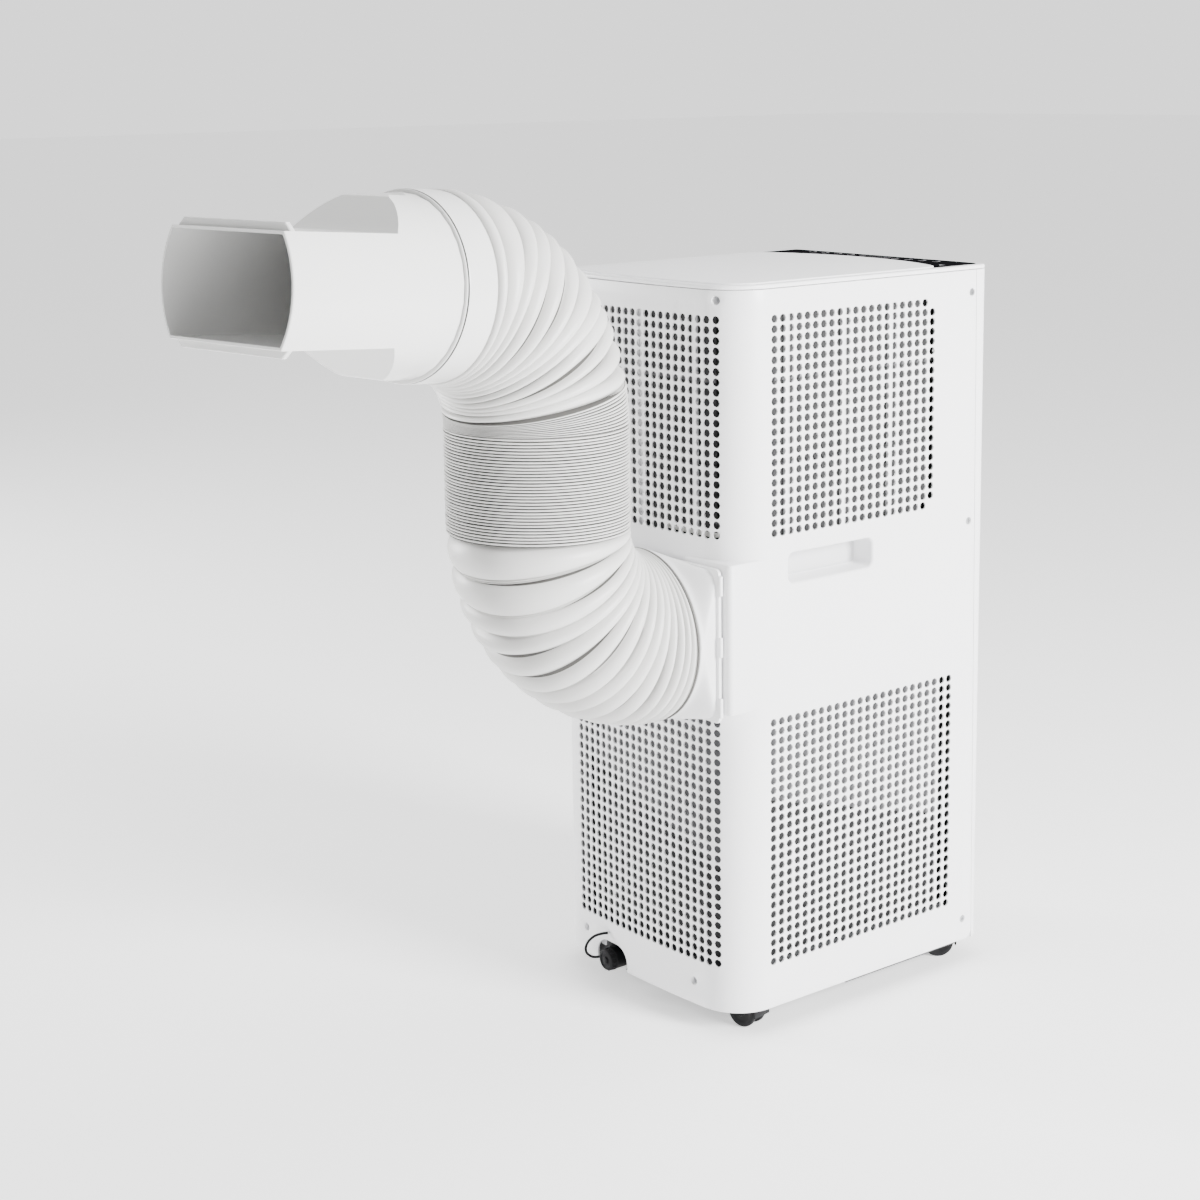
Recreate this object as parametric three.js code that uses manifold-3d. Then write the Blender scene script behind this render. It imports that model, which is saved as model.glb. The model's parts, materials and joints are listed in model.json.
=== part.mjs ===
// Portable air conditioner on casters, with a flexible exhaust duct and a flat window nozzle.
// Millimetres, +Z up. The body's front faces -Y, and the duct leaves the rear towards +Y.
import * as THREE from 'three';
import { mergeVertices } from 'three/addons/utils/BufferGeometryUtils.js';
import Module from 'manifold-3d';

const wasm = await Module();
wasm.setup();

// ---------------------------------------------------------------- driving dimensions
const BODY_W = 262;            // across, along X
const BODY_D = 327.6;          // front to rear, along Y
const COVER_BOTTOM = 21;       // lower edge of the white covers above the floor
const COVER_TOP = 677.7;       // seam between the covers and the top
const BODY_TOP = 682;
const WALL = 2.6;              // moulded plastic wall
const GAP = 0.4;               // gap between parts that touch
const REAR_RADIUS = 43;        // upright corners of the rear cover
const FRONT_RADIUS = 20;       // upright corners of the front cover
const SEAM_Y = -146;           // upright seam between rear cover and front cover

const GRIP = { y: 41.6, z: 428.3, length: 107.6, height: 30.6, depth: 24, radius: 8 };
const NOTCH = { width: 47, top: 44, radius: 16 };
const SCREW = { headR: 3.3, headDepth: 2.4, shankR: 1.4, length: 8 };
const SIDE_SCREW = { y: -138.6, zs: [42.5, 440, 657] };
const REAR_WELL = { r: 5.6, boreR: 4.3, floor: 2 };
const REAR_SCREWS = [   // recessed screws of the rear face: place, and how deep the well reaches
  { x: -106, z: 669, depth: 14 }, { x: 103, z: 669, depth: 14 },
  { x: -77.1, z: 42.8, depth: 8.4 }, { x: 82.5, z: 46.6, depth: 8.4 },
];
const GLAND = { y: 60, z: 45, flangeR: 11, flange: 1.6, r: 6, boreR: 3.7, depth: 7 };

const DUCT_X = -39.3;          // centre line of the duct outlet
const DUCT_Z = 367;
const DUCT_R = 79.5;           // outside of the hose folds
const DUCT_BORE_R = 75.5;
const PORT_R = 66;             // opening of the cover and of its adapter
const PLATE = { width: 164.8, height: 139, thick: 4, clipHalf: 9, clipPitch: 55 };
const BOSS = { bottom: 305, top: 441 };
const JOINT_Y = 185;           // plane where the hose collar meets the adapter
const HOSE_COLLAR = 3;         // length of the plain ring at the foot of the hose
const LOWER_R = 112;           // centre line radii of the two hose bends
const UPPER_R = 126;
const MIDDLE_LENGTH = 90.6;    // straight, closed-up stretch of the hose
const BEND_SIDES = 20;
const BEND_STEPS = 7;
const NOZZLE_YAW = 8.5;        // degrees, the upper bend leans to the left side
const NOZZLE_RISE = 4.6;       // degrees, the nozzle points a little up

const NOZZLE = {
  collarR: 77.7, collarLength: 34, tubeR: 74.5, mouthR: 79.5, length: 206, wall: 2.4,
  halfHeight: 43, wedgeStart: 69, wedgeEnd: 94, flangeHalf: 49.4, flangeThick: 5, lip: 6,
};

const CASTER = {
  x: 97.5, rearY: 124, frontY: -126, wheelR: 15, wheelW: 7, web: 7, trail: 9, axleR: 2.5, stemR: 4,
  hoodTop: 35.5, stemTop: 54, wellR: 31, wellTop: 37.5, rearTurn: 10, frontTurn: 50,
};

const PAN = { bottom: 17.4, floor: 44, top: 62, inset: 9 };
const PLUG = { x: 41, z: 28, r: 10.9, length: 22, faceY: 171.5, boreR: 7.3, nubR: 3 };
const SPOUT = { r: 7, boreR: 4.5, y0: 121.5, y1: 164 };

// Thin rubber strap from the cover to the drain plug, hung in a small loop.
const STRAP = { r: 1.3, x: 45.2, z: 52.5 };
const STRAP_ROUTE = [
  [STRAP.x, 164.4, STRAP.z], [48.5, 168.5, 52], [55.5, 172, 48.5], [62.5, 174, 42], [67, 174.5, 34.5],
  [67, 174, 28.5], [62.5, 172, 25.5], [58, 169.5, 25.5], [53.7, 167, 27],
];

const OUTLET = { width: 190, bottom: 592, top: 650, radius: 4 };
const FLAP = { y: -163.4, thick: 2.8, axisY: -157.5, axisZ: 599, pinR: 2, lugOuter: 6 };
const VANES = { xs: [-60, -20, 20, 60], y: -147.5, chord: 15, thick: 1.8, pinR: 1.5, frameHalf: 6 };
const FASCIA = { inset: 8, sideY: -99, midY: -127.8, thick: 3, proud: 0.6 };
const PANEL_PROUD = 1.2;       // raised field of the top, behind the fascia
const DECK = { bottom: 460, top: 464, inset: 8 };
const EVAP_FAN = {
  x: 0, y: -30, z: 560, wheelR: 62, halfWidth: 58, startR: 72, endR: 92, reach: 108.5, blades: 12,
};
const EXHAUST_FAN = {
  x: DUCT_X, y: 0, z: 295, wheelR: 64, halfWidth: 42, startR: 74, endR: 96, reach: 158, blades: 12,
};
const SHAFT_R = 4;

// ---------------------------------------------------------------- colours and finishes
const finish = (color, roughness, metalness = 0) =>
  new THREE.MeshStandardMaterial({ color, roughness, metalness });
const WHITE = finish(0xececed, 0.42);
const DUCT_WHITE = finish(0xdcdcda, 0.55);
const GLOSS_BLACK = finish(0x1c1c1e, 0.15);
const BLACK = finish(0x1b1b1b, 0.6);
const RUBBER = finish(0x161616, 0.8);
const PAN_GREY = finish(0x4a4b4d, 0.6);
const STEEL = finish(0xb7babd, 0.35, 0.9);
const COPPER = finish(0xb87348, 0.35, 0.9);
const FIN_METAL = finish(0x9da2a6, 0.45, 0.8);
const MOTOR_GREY = finish(0x6b6e72, 0.5, 0.5);
const BOARD_GREEN = finish(0x2c5a3c, 0.6);
const FOAM_WHITE = finish(0xe6e6e2, 0.8);

// ---------------------------------------------------------------- solids
const deg = THREE.MathUtils.degToRad;
const halfW = BODY_W / 2;
const halfD = BODY_D / 2;

function solid(geometry) {
  const bare = geometry.clone();
  bare.deleteAttribute('normal');
  bare.deleteAttribute('uv');
  const merged = mergeVertices(bare, 1e-4);
  return new wasm.Manifold(new wasm.Mesh({
    numProp: 3,
    vertProperties: new Float32Array(merged.attributes.position.array),
    triVerts: new Uint32Array(merged.index.array),
  }));
}

function mesh(name, body, material) {
  const { vertProperties, triVerts } = body.getMesh();
  const geometry = new THREE.BufferGeometry();
  geometry.setAttribute('position', new THREE.BufferAttribute(new Float32Array(vertProperties), 3));
  geometry.setIndex(new THREE.BufferAttribute(new Uint32Array(triVerts), 1));
  geometry.computeVertexNormals();
  const part = new THREE.Mesh(geometry, material);
  part.name = name;
  return part;
}

const cut = (body, ...tools) => tools.reduce((rest, tool) => rest.subtract(tool), body);
const join = (body, ...others) => others.reduce((whole, other) => whole.add(other), body);

function box(x0, x1, y0, y1, z0, z1) {
  const geometry = new THREE.BoxGeometry(x1 - x0, y1 - y0, z1 - z0);
  geometry.translate((x0 + x1) / 2, (y0 + y1) / 2, (z0 + z1) / 2);
  return solid(geometry);
}

// A round bar that starts at a point and runs along an axis letter. It may taper.
function bar(radius, length, axis, x, y, z, sides = 24, endRadius = radius) {
  const geometry = new THREE.CylinderGeometry(endRadius, radius, length, sides);
  geometry.translate(0, length / 2, 0);
  if (axis === 'z') geometry.rotateX(Math.PI / 2);
  if (axis === 'x') geometry.rotateZ(-Math.PI / 2);
  geometry.translate(x, y, z);
  return solid(geometry);
}

function prism(shape, depth, curveSegments, axes) {
  const geometry = new THREE.ExtrudeGeometry(shape, { depth, curveSegments, bevelEnabled: false });
  geometry.applyMatrix4(new THREE.Matrix4().makeBasis(...axes));
  return geometry;
}

const X = new THREE.Vector3(1, 0, 0);
const Y = new THREE.Vector3(0, 1, 0);
const Z = new THREE.Vector3(0, 0, 1);

// Prisms along Z, Y and X. The shape lies in the plane of the other two axes.
function upright(shape, z0, z1, curveSegments = 6) {
  return solid(prism(shape, z1 - z0, curveSegments, [X, Y, Z]).translate(0, 0, z0));
}

function alongY(shape, y0, y1, curveSegments = 6) {
  return solid(prism(shape, y1 - y0, curveSegments, [X, Z, Y.clone().negate()]).translate(0, y1, 0));
}

function alongX(shape, x0, x1, curveSegments = 6) {
  return solid(prism(shape, x1 - x0, curveSegments, [Y, Z, X]).translate(x0, 0, 0));
}

// ---------------------------------------------------------------- outlines
// Plan of the body: small radii at the front, large radii at the rear.
function planShape(inset) {
  const w = halfW - inset;
  const d = halfD - inset;
  const rear = REAR_RADIUS - inset;
  const front = FRONT_RADIUS - inset;
  const shape = new THREE.Shape();
  shape.moveTo(-w, -d + front);
  shape.absarc(-w + front, -d + front, front, Math.PI, 1.5 * Math.PI, false);
  shape.absarc(w - front, -d + front, front, 1.5 * Math.PI, 2 * Math.PI, false);
  shape.absarc(w - rear, d - rear, rear, 0, 0.5 * Math.PI, false);
  shape.absarc(-w + rear, d - rear, rear, 0.5 * Math.PI, Math.PI, false);
  shape.closePath();
  return shape;
}

function roundedRect(cx, cy, width, height, radius) {
  const right = cx + width / 2 - radius;
  const left = cx - width / 2 + radius;
  const top = cy + height / 2 - radius;
  const bottom = cy - height / 2 + radius;
  const shape = new THREE.Shape();
  shape.moveTo(left, bottom - radius);
  shape.absarc(right, bottom, radius, -Math.PI / 2, 0, false);
  shape.absarc(right, top, radius, 0, Math.PI / 2, false);
  shape.absarc(left, top, radius, Math.PI / 2, Math.PI, false);
  shape.absarc(left, bottom, radius, Math.PI, 1.5 * Math.PI, false);
  return shape;
}

const disc = (radius, cx = 0, cy = 0) => new THREE.Shape().absarc(cx, cy, radius, 0, 2 * Math.PI, false);

function polygon(points) {
  return new THREE.Shape(points.map(([x, y]) => new THREE.Vector2(x, y)));
}

function ringPoints(radius, sides) {
  return Array.from({ length: sides }, (_, i) => {
    const a = (2 * Math.PI * i) / sides;
    return [radius * Math.cos(a), radius * Math.sin(a)];
  });
}

// Plan of the black fascia: the front edge follows the body, the rear edge is a shallow arc.
function fasciaShape(inset) {
  const w = halfW - FASCIA.inset - inset;
  const front = -halfD + FASCIA.inset + inset;
  const corner = FRONT_RADIUS - FASCIA.inset - inset;
  const sideY = FASCIA.sideY - inset;
  const midY = FASCIA.midY - inset;
  const shape = new THREE.Shape();
  shape.moveTo(-w, sideY);
  shape.absarc(-w + corner, front + corner, corner, Math.PI, 1.5 * Math.PI, false);
  shape.absarc(w - corner, front + corner, corner, 1.5 * Math.PI, 2 * Math.PI, false);
  shape.lineTo(w, sideY);
  shape.quadraticCurveTo(w * 0.55, midY, 0, midY);
  shape.quadraticCurveTo(-w * 0.55, midY, -w, sideY);
  return shape;
}

// Plan of the raised field behind the fascia. It runs 1 mm under the fascia, where it is cut off.
function panelShape() {
  const w = halfW - FASCIA.inset;
  const d = halfD - FASCIA.inset;
  const rear = REAR_RADIUS - FASCIA.inset;
  const sideY = FASCIA.sideY - 1;
  const midY = FASCIA.midY - 1;
  const shape = new THREE.Shape();
  shape.moveTo(-w, sideY);
  shape.quadraticCurveTo(-w * 0.55, midY, 0, midY);
  shape.quadraticCurveTo(w * 0.55, midY, w, sideY);
  shape.absarc(w - rear, d - rear, rear, 0, 0.5 * Math.PI, false);
  shape.absarc(-w + rear, d - rear, rear, 0.5 * Math.PI, Math.PI, false);
  shape.closePath();
  return shape;
}

// ---------------------------------------------------------------- housing
const SIDE_SCREWS = [-1, 1].flatMap((side) => SIDE_SCREW.zs.map((z) => ({ side, z })));

// The hollow behind a side grip. A positive grow gives the block that its walls are cut from.
function gripPocket(side, grow) {
  const shape = roundedRect(
    GRIP.y, GRIP.z, GRIP.length + 2 * grow, GRIP.height + 2 * grow, GRIP.radius + grow);
  const deep = side * (halfW - GRIP.depth - grow);
  const face = side * (grow > 0 ? halfW - WALL / 2 : halfW + 1);
  return alongX(shape, Math.min(deep, face), Math.max(deep, face), 3);
}

function coverShell(open) {
  return cut(
    upright(planShape(0), COVER_BOTTOM, COVER_TOP),
    upright(planShape(WALL), COVER_BOTTOM - 1, COVER_TOP + 1),
    open);
}

function rearCover() {
  const shell = coverShell(box(-halfW - 1, halfW + 1, -halfD - 1, SEAM_Y, 0, COVER_TOP + 1));
  const corner = box(-halfW, -halfW + REAR_RADIUS, halfD - REAR_RADIUS, halfD, BOSS.bottom, BOSS.top);
  const boss = cut(corner, upright(planShape(WALL), BOSS.bottom - 1, BOSS.top + 1));
  const wells = REAR_SCREWS.map(({ x, z, depth }) =>
    bar(REAR_WELL.r, depth + 1, 'y', x, halfD - depth, z, 12).intersect(upright(planShape(1), z - 9, z + 9)));
  const inside = halfD - 2 * WALL;
  const notch = roundedRect(PLUG.x, 0, NOTCH.width, 2 * NOTCH.top, NOTCH.radius);
  return cut(
    join(shell, boss, gripPocket(-1, WALL), gripPocket(1, WALL), ...wells),
    gripPocket(-1, 0),
    gripPocket(1, 0),
    bar(PORT_R, 3 * WALL, 'y', DUCT_X, inside, DUCT_Z, 32),
    alongY(notch, inside, halfD + 1, 4),
    bar(STRAP.r + 0.1, 3 * WALL, 'y', STRAP.x, inside, STRAP.z, 8),
    ...SIDE_SCREWS.map(({ side, z }) => bar(3.6, 6, 'x', side * halfW - 3, SIDE_SCREW.y, z, 12)),
    bar(GLAND.r + GAP, 3 * WALL, 'x', halfW - 2 * WALL, GLAND.y, GLAND.z, 16),
    ...REAR_SCREWS.map(({ x, z, depth }) =>
      bar(REAR_WELL.boreR, 20, 'y', x, halfD - depth + REAR_WELL.floor, z, 10)),
    ...REAR_SCREWS.map(({ x, z }) => bar(SCREW.shankR + 0.3, 20, 'y', x, halfD - 18, z, 8)));
}

// Front face with short returned sides, an air outlet, and lugs for the side screws.
function frontCover() {
  const shell = coverShell(box(-halfW - 1, halfW + 1, SEAM_Y - GAP, halfD + 1, 0, COVER_TOP + 1));
  const { width, bottom, top, radius } = OUTLET;
  const opening = roundedRect(0, (bottom + top) / 2, width, top - bottom, radius);
  const lugs = SIDE_SCREWS.map(({ side, z }) => {
    const outer = side * (halfW - WALL - GAP);
    const inner = outer - side * 5;
    const skin = side * (halfW - WALL / 2);
    const arm = (a, y0, y1) => box(Math.min(a, inner), Math.max(a, inner), y0, y1, z - 8, z + 8);
    const hole = bar(1.7, 8, 'x', Math.min(outer, inner) - 1, SIDE_SCREW.y, z, 10);
    const lug = join(arm(outer, SEAM_Y - 8, SIDE_SCREW.y + 7), arm(skin, SEAM_Y - 8, SEAM_Y - 2));
    return cut(lug, hole).intersect(upright(planShape(1), z - 9, z + 9));
  });
  const pivots = [-1, 1].map((side) => {
    const a = side * (width / 2 + 1);
    const b = a + side * FLAP.lugOuter;
    const block = box(Math.min(a, b), Math.max(a, b), -halfD + 1, FLAP.axisY + 6, FLAP.axisZ - 6, FLAP.axisZ + 6);
    return cut(block, bar(FLAP.pinR + 0.15, 12, 'x', Math.min(a, b) - 2, FLAP.axisY, FLAP.axisZ, 12));
  });
  return join(cut(shell, alongY(opening, -halfD - 1, -halfD + 2 * WALL, 3)), ...lugs, ...pivots);
}

function topCover() {
  const seat = COVER_TOP + GAP;
  const lip = cut(
    upright(planShape(WALL + GAP), seat - 3, seat + 1),
    upright(planShape(2 * WALL + GAP), seat - 4, seat + 2));
  const plate = join(upright(planShape(0), seat, BODY_TOP), lip);
  const raised = upright(panelShape(), BODY_TOP - 1, BODY_TOP + PANEL_PROUD, 5);
  return cut(join(plate, raised), upright(fasciaShape(0), seat - 20, BODY_TOP + 5, 5));
}

function controlFascia() {
  return upright(fasciaShape(GAP), BODY_TOP - FASCIA.thick, BODY_TOP + FASCIA.proud, 5);
}

// ---------------------------------------------------------------- base and casters
const CASTERS = [-1, 1].flatMap((side) => {
  const hand = side < 0 ? 'left' : 'right';
  return [
    { name: `rear_${hand}`, x: side * CASTER.x, y: CASTER.rearY, turn: CASTER.rearTurn },
    { name: `front_${hand}`, x: side * CASTER.x, y: CASTER.frontY, turn: CASTER.frontTurn },
  ];
});

function basePan() {
  const tray = cut(
    upright(planShape(PAN.inset), PAN.bottom, PAN.top, 4),
    box(-halfW + 14, halfW - 14, -halfD + 34, halfD - 26, PAN.floor, PAN.top + 1));
  const { wellR, wellTop, stemR } = CASTER;
  const wells = CASTERS.map(({ x, y }) => bar(wellR, wellTop - PAN.bottom + 1, 'z', x, y, PAN.bottom - 1, 20));
  const sockets = CASTERS.map(({ x, y }) => bar(stemR + 0.12, 50, 'z', x, y, PAN.bottom, 16));
  const sump = box(PLUG.x - 12, PLUG.x + 12, SPOUT.y0 - 26, SPOUT.y0 - 1, PLUG.z - SPOUT.r, PAN.top + 1);
  const notch = bar(PLUG.r + 4, 40, 'y', PLUG.x, halfD - 27, PLUG.z, 16);
  const spoutHole = bar(SPOUT.r + 0.3, 30, 'y', PLUG.x, SPOUT.y0 - 2, PLUG.z, 16);
  const screwHoles = REAR_SCREWS.map(({ x, z }) => bar(SCREW.shankR + 0.3, 20, 'y', x, halfD - 25, z, 8));
  return cut(tray, ...wells, ...sockets, sump, notch, spoutHole, ...screwHoles);
}

// Hooded fork: a web between the wheels and a curved fender over them. Local frame: the
// stem stands on the origin and the axle trails along -X.
function casterHood() {
  const { wheelR, wheelW, web, trail, axleR, stemR, hoodTop, stemTop } = CASTER;
  const half = web / 2 + wheelW + 1.2;
  const side = new THREE.Shape();
  side.absarc(-trail, wheelR, wheelR + 3.2, deg(-12), deg(192), false);
  side.closePath();
  const roomY = (y0, y1) => alongY(disc(wheelR + 1, -trail, wheelR), y0, y1, 8);
  return cut(
    join(
      alongY(side, -half, half, 8),
      bar(8, 10, 'z', 0, 0, hoodTop - 10, 14),
      bar(stemR, stemTop - hoodTop + 4, 'z', 0, 0, hoodTop - 4, 16)),
    roomY(-half - 1, -web / 2),
    roomY(web / 2, half + 1),
    bar(axleR + 0.12, web + 2, 'y', -trail, -web / 2 - 1, wheelR, 12));
}

// Twin wheels on one axle.
function casterWheels() {
  const { wheelR, wheelW, web, trail, axleR } = CASTER;
  const inner = web / 2 + GAP;
  const width = wheelW - GAP;
  const wheel = (y) => bar(wheelR, width, 'y', -trail, y, wheelR, 24);
  const axle = bar(axleR, 2 * inner + 2, 'y', -trail, -inner - 1, wheelR, 12);
  return join(wheel(inner), wheel(-inner - width), axle);
}

// ---------------------------------------------------------------- air path
// Outline of a fan scroll: a spiral that opens into a straight outlet along the shape's x.
function voluteShape(startR, endR, reach, tongue = 40) {
  const sweep = tongue + 270;
  const steps = 16;
  const points = [];
  for (let i = 0; i <= steps; i += 1) {
    const r = startR + ((endR - startR) * i) / steps;
    const angle = deg(tongue - (sweep * i) / steps);
    points.push([r * Math.cos(angle), r * Math.sin(angle)]);
  }
  return polygon([...points, [reach, endR], [reach, startR * Math.sin(deg(tongue))]]);
}

// A scroll that blows towards +Y, with an inlet eye on both sides.
function scroll({ startR, endR, reach, wheelR, halfWidth }) {
  const side = halfWidth + 10;
  return cut(
    alongX(voluteShape(startR, endR, reach), -side, side),
    alongX(voluteShape(startR - WALL, endR - WALL, reach + 5, 43), -side + WALL, side - WALL),
    bar(wheelR - 14, 2 * side + 4, 'x', -side - 2, 0, 0, 24));
}

// A double-inlet wheel: a centre plate with a hub, blades, and a rim ring on each end.
function blowerWheel({ wheelR, halfWidth, blades }) {
  const ring = (x) => cut(bar(wheelR, 4, 'x', x, 0, 0, 20), bar(wheelR - 12, 6, 'x', x - 1, 0, 0, 16));
  const blade = (i) => {
    const geometry = new THREE.BoxGeometry(2 * halfWidth - 2, 11, 2);
    geometry.rotateX(deg(35)).translate(0, wheelR - 6.5, 0).rotateX((2 * Math.PI * i) / blades);
    return solid(geometry);
  };
  const wheel = join(
    bar(wheelR, 4, 'x', -2, 0, 0, 20),
    bar(12, 24, 'x', -12, 0, 0, 12),
    ring(-halfWidth),
    ring(halfWidth - 4),
    ...Array.from({ length: blades }, (_, i) => blade(i)));
  return cut(wheel, bar(SHAFT_R + 0.15, 30, 'x', -15, 0, 0, 16));
}

// A motor whose can starts at x0 and whose shaft points along -X to shaftEnd.
function motor(canR, x0, canLength, shaftEnd) {
  return join(
    bar(canR, canLength, 'x', x0, 0, 0, 20),
    bar(SHAFT_R, x0 - shaftEnd + 1, 'x', shaftEnd, 0, 0, 16));
}

// A coil block: a solid core with grooves between groups of fins on the rear side.
function finBlock(x0, x1, y0, y1, z0, z1, pitch) {
  const grooves = [];
  for (let z = z0 + pitch; z < z1 - pitch / 2; z += pitch) {
    grooves.push(box(x0 + 12, x1 - 12, y1 - 8, y1 + 1, z - pitch / 6, z + pitch / 6));
  }
  return cut(box(x0, x1, y0, y1, z0, z1), ...grooves);
}

// A filter frame in the YZ plane, with windows between a grid of ribs.
function filterPanel(length, height, thick, columns, rows, rib) {
  const w = (length - rib) / columns;
  const h = (height - rib) / rows;
  const windows = [];
  for (let i = 0; i < columns; i += 1) {
    for (let j = 0; j < rows; j += 1) {
      windows.push(box(-1, thick + 1, rib + i * w, (i + 1) * w, rib + j * h, (j + 1) * h));
    }
  }
  return cut(box(0, thick, 0, length, 0, height), ...windows);
}

// ---------------------------------------------------------------- louvers
// Vertical air vane with a pin at each end, turning about the local Z axis.
function louverVane() {
  const { chord, thick, pinR } = VANES;
  const { bottom, top } = OUTLET;
  return join(
    box(-thick / 2, thick / 2, -chord / 2, chord / 2, bottom + 0.5, top - 0.5),
    bar(pinR, top - bottom + 10, 'z', 0, 0, bottom - 5, 12));
}

// Frame behind the air outlet: it carries the pins of the vertical vanes.
function louverFrame() {
  const { y, frameHalf, xs, pinR } = VANES;
  const { bottom, top, width } = OUTLET;
  const half = width / 2 - 1;
  return cut(
    box(-half, half, y - frameHalf, y + frameHalf, bottom - 6, top + 6),
    box(-half + 3, half - 3, y - frameHalf - 1, y + frameHalf + 1, bottom, top),
    ...xs.map((x) => bar(pinR + 0.12, top - bottom + 20, 'z', x, y, bottom - 10, 12)));
}

// Horizontal flap that closes the air outlet, with a pivot pin at each end.
function louverFlap() {
  const { y, thick, axisY, axisZ, pinR } = FLAP;
  const { width, top, radius } = OUTLET;
  const half = width / 2 - 1;
  const bottom = axisZ - 4;
  const height = top - 1 - bottom;
  const plate = alongY(roundedRect(0, bottom + height / 2, 2 * half, height, radius), y, y + thick, 3);
  const ends = [-1, 1].map((side) => {
    const inner = side * (half - 2);
    const outer = side * half;
    const tip = side * (half + 6);
    const arm = box(Math.min(inner, outer), Math.max(inner, outer), y + 1, axisY + 2.5, axisZ - 2.5, axisZ + 2.5);
    return join(arm, bar(pinR, 7, 'x', Math.min(outer - side, tip), axisY, axisZ, 12));
  });
  return join(plate, ...ends);
}

// ---------------------------------------------------------------- refrigeration and drain
function pipe(points, radius) {
  const path = new THREE.CatmullRomCurve3(points.map((p) => new THREE.Vector3(...p)), false, 'centripetal');
  const section = polygon(ringPoints(radius, 8));
  return solid(new THREE.ExtrudeGeometry(section, { steps: 3 * (points.length - 1), extrudePath: path }));
}

function lathe(profile, sides) {
  return new THREE.LatheGeometry(profile.map(([x, y]) => new THREE.Vector2(x, y)), sides);
}

// Compressor shell on a three-footed base.
function compressorBody() {
  const r = 50;
  const shell = lathe([[0, 0], [r - 14, 0], [r, 12], [r, 168], [r - 12, 186], [14, 194], [0, 194]], 28);
  const feet = [90, 210, 330].map((turn) =>
    solid(new THREE.BoxGeometry(62, 24, 4).translate(31, 0, 2).rotateZ(deg(turn))));
  return join(solid(shell.rotateX(Math.PI / 2)), ...feet);
}

function drainPlug() {
  const { x, z, r, length, faceY, boreR, nubR } = PLUG;
  return cut(
    join(bar(r, length, 'y', x, faceY - length, z, 20), bar(nubR, 2, 'y', x, faceY - 1, z, 12)),
    bar(boreR, length - 4, 'y', x, faceY - length - 1, z, 16));
}

function drainSpout() {
  const { r, boreR, y0, y1 } = SPOUT;
  return cut(
    bar(r, y1 - y0, 'y', PLUG.x, y0, PLUG.z, 16),
    bar(boreR, y1 - y0 + 2, 'y', PLUG.x, y0 - 1, PLUG.z, 12));
}

// Countersunk screw. Its head faces +Y, and its shank points along -Y.
function screw() {
  const { headR, headDepth, shankR, length } = SCREW;
  return lathe([
    [0, -length], [shankR, -length], [shankR, -headDepth], [headR, -0.5], [headR, 0], [0, 0],
  ], 8);
}

// Flanged sleeve in the right side of the cover, where a power cord would leave.
function cordGland() {
  const { y, z, flangeR, flange, r, boreR, depth } = GLAND;
  return cut(
    join(
      bar(flangeR, flange, 'x', halfW + GAP, y, z, 16),
      bar(r, depth + GAP + 1, 'x', halfW - depth, y, z, 16)),
    bar(boreR, depth + 5, 'x', halfW - depth - 1, y, z, 12));
}

// ---------------------------------------------------------------- duct
// A bend in the local YZ plane. It starts at the origin, along +Y for the lower bend
// (which ends going up) or along +Z for the upper bend (which ends going rearwards).
class Bend extends THREE.Curve {
  constructor(radius, degrees, startsUp) {
    super();
    Object.assign(this, { radius, degrees, startsUp });
  }

  getPoint(t) {
    const a = deg(this.degrees) * t;
    const along = this.radius * Math.sin(a);
    const across = this.radius * (1 - Math.cos(a));
    return this.startsUp ? new THREE.Vector3(0, across, along) : new THREE.Vector3(0, along, across);
  }
}

function hoseBend(curve) {
  const section = polygon(ringPoints(DUCT_R, BEND_SIDES));
  section.holes.push(polygon(ringPoints(DUCT_BORE_R, BEND_SIDES)));
  return solid(new THREE.ExtrudeGeometry(section, { steps: BEND_STEPS, extrudePath: curve }));
}

function tube(outer, inner, z0, z1, sides = 28) {
  return cut(
    bar(outer, z1 - z0, 'z', 0, 0, z0, sides),
    bar(inner, z1 - z0 + 2, 'z', 0, 0, z0 - 1, sides));
}

// Rectangular plate that clips to the rear boss, tapering to the round collar for the hose.
function ductAdapter() {
  const { width, height, thick, clipHalf, clipPitch } = PLATE;
  const y0 = halfD + GAP;
  const edge = DUCT_X - width / 2;
  return cut(
    join(
      alongY(roundedRect(DUCT_X, DUCT_Z, width, height, 4), y0, y0 + thick, 2),
      bar(height / 2 - 0.5, JOINT_Y - y0, 'y', DUCT_X, y0, DUCT_Z, 32, DUCT_R - 1.5),
      ...[-clipPitch, 0, clipPitch].map((dz) =>
        box(edge - 2, edge + 4, y0 + 1, y0 + thick, DUCT_Z + dz - clipHalf, DUCT_Z + dz + clipHalf))),
    bar(PORT_R, 60, 'y', DUCT_X, y0 - 20, DUCT_Z, 32));
}

// Wedge that flattens the top (side 1) or bottom (side -1) of the nozzle, in its YZ plane.
function nozzleWedge(side, halfHeight, radius, z1) {
  const { wedgeStart, wedgeEnd } = NOZZLE;
  const far = side * (radius + 20);
  const shape = polygon([
    [side * radius, wedgeStart], [side * halfHeight, wedgeEnd], [side * halfHeight, z1], [far, z1], [far, wedgeStart],
  ]);
  return alongX(shape, -2 * radius, 2 * radius);
}

// Outer or inner form of the nozzle along local +Z: a flared tube cut flat on two sides.
function nozzleForm(inset, z0, z1) {
  const { tubeR, mouthR, halfHeight } = NOZZLE;
  const start = tubeR - inset;
  const end = mouthR - inset;
  const wedge = (side) => nozzleWedge(side, halfHeight - inset, start, z1 + 1);
  return cut(bar(start, z1 - z0, 'z', 0, 0, z0, 32, end), wedge(1), wedge(-1));
}

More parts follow.
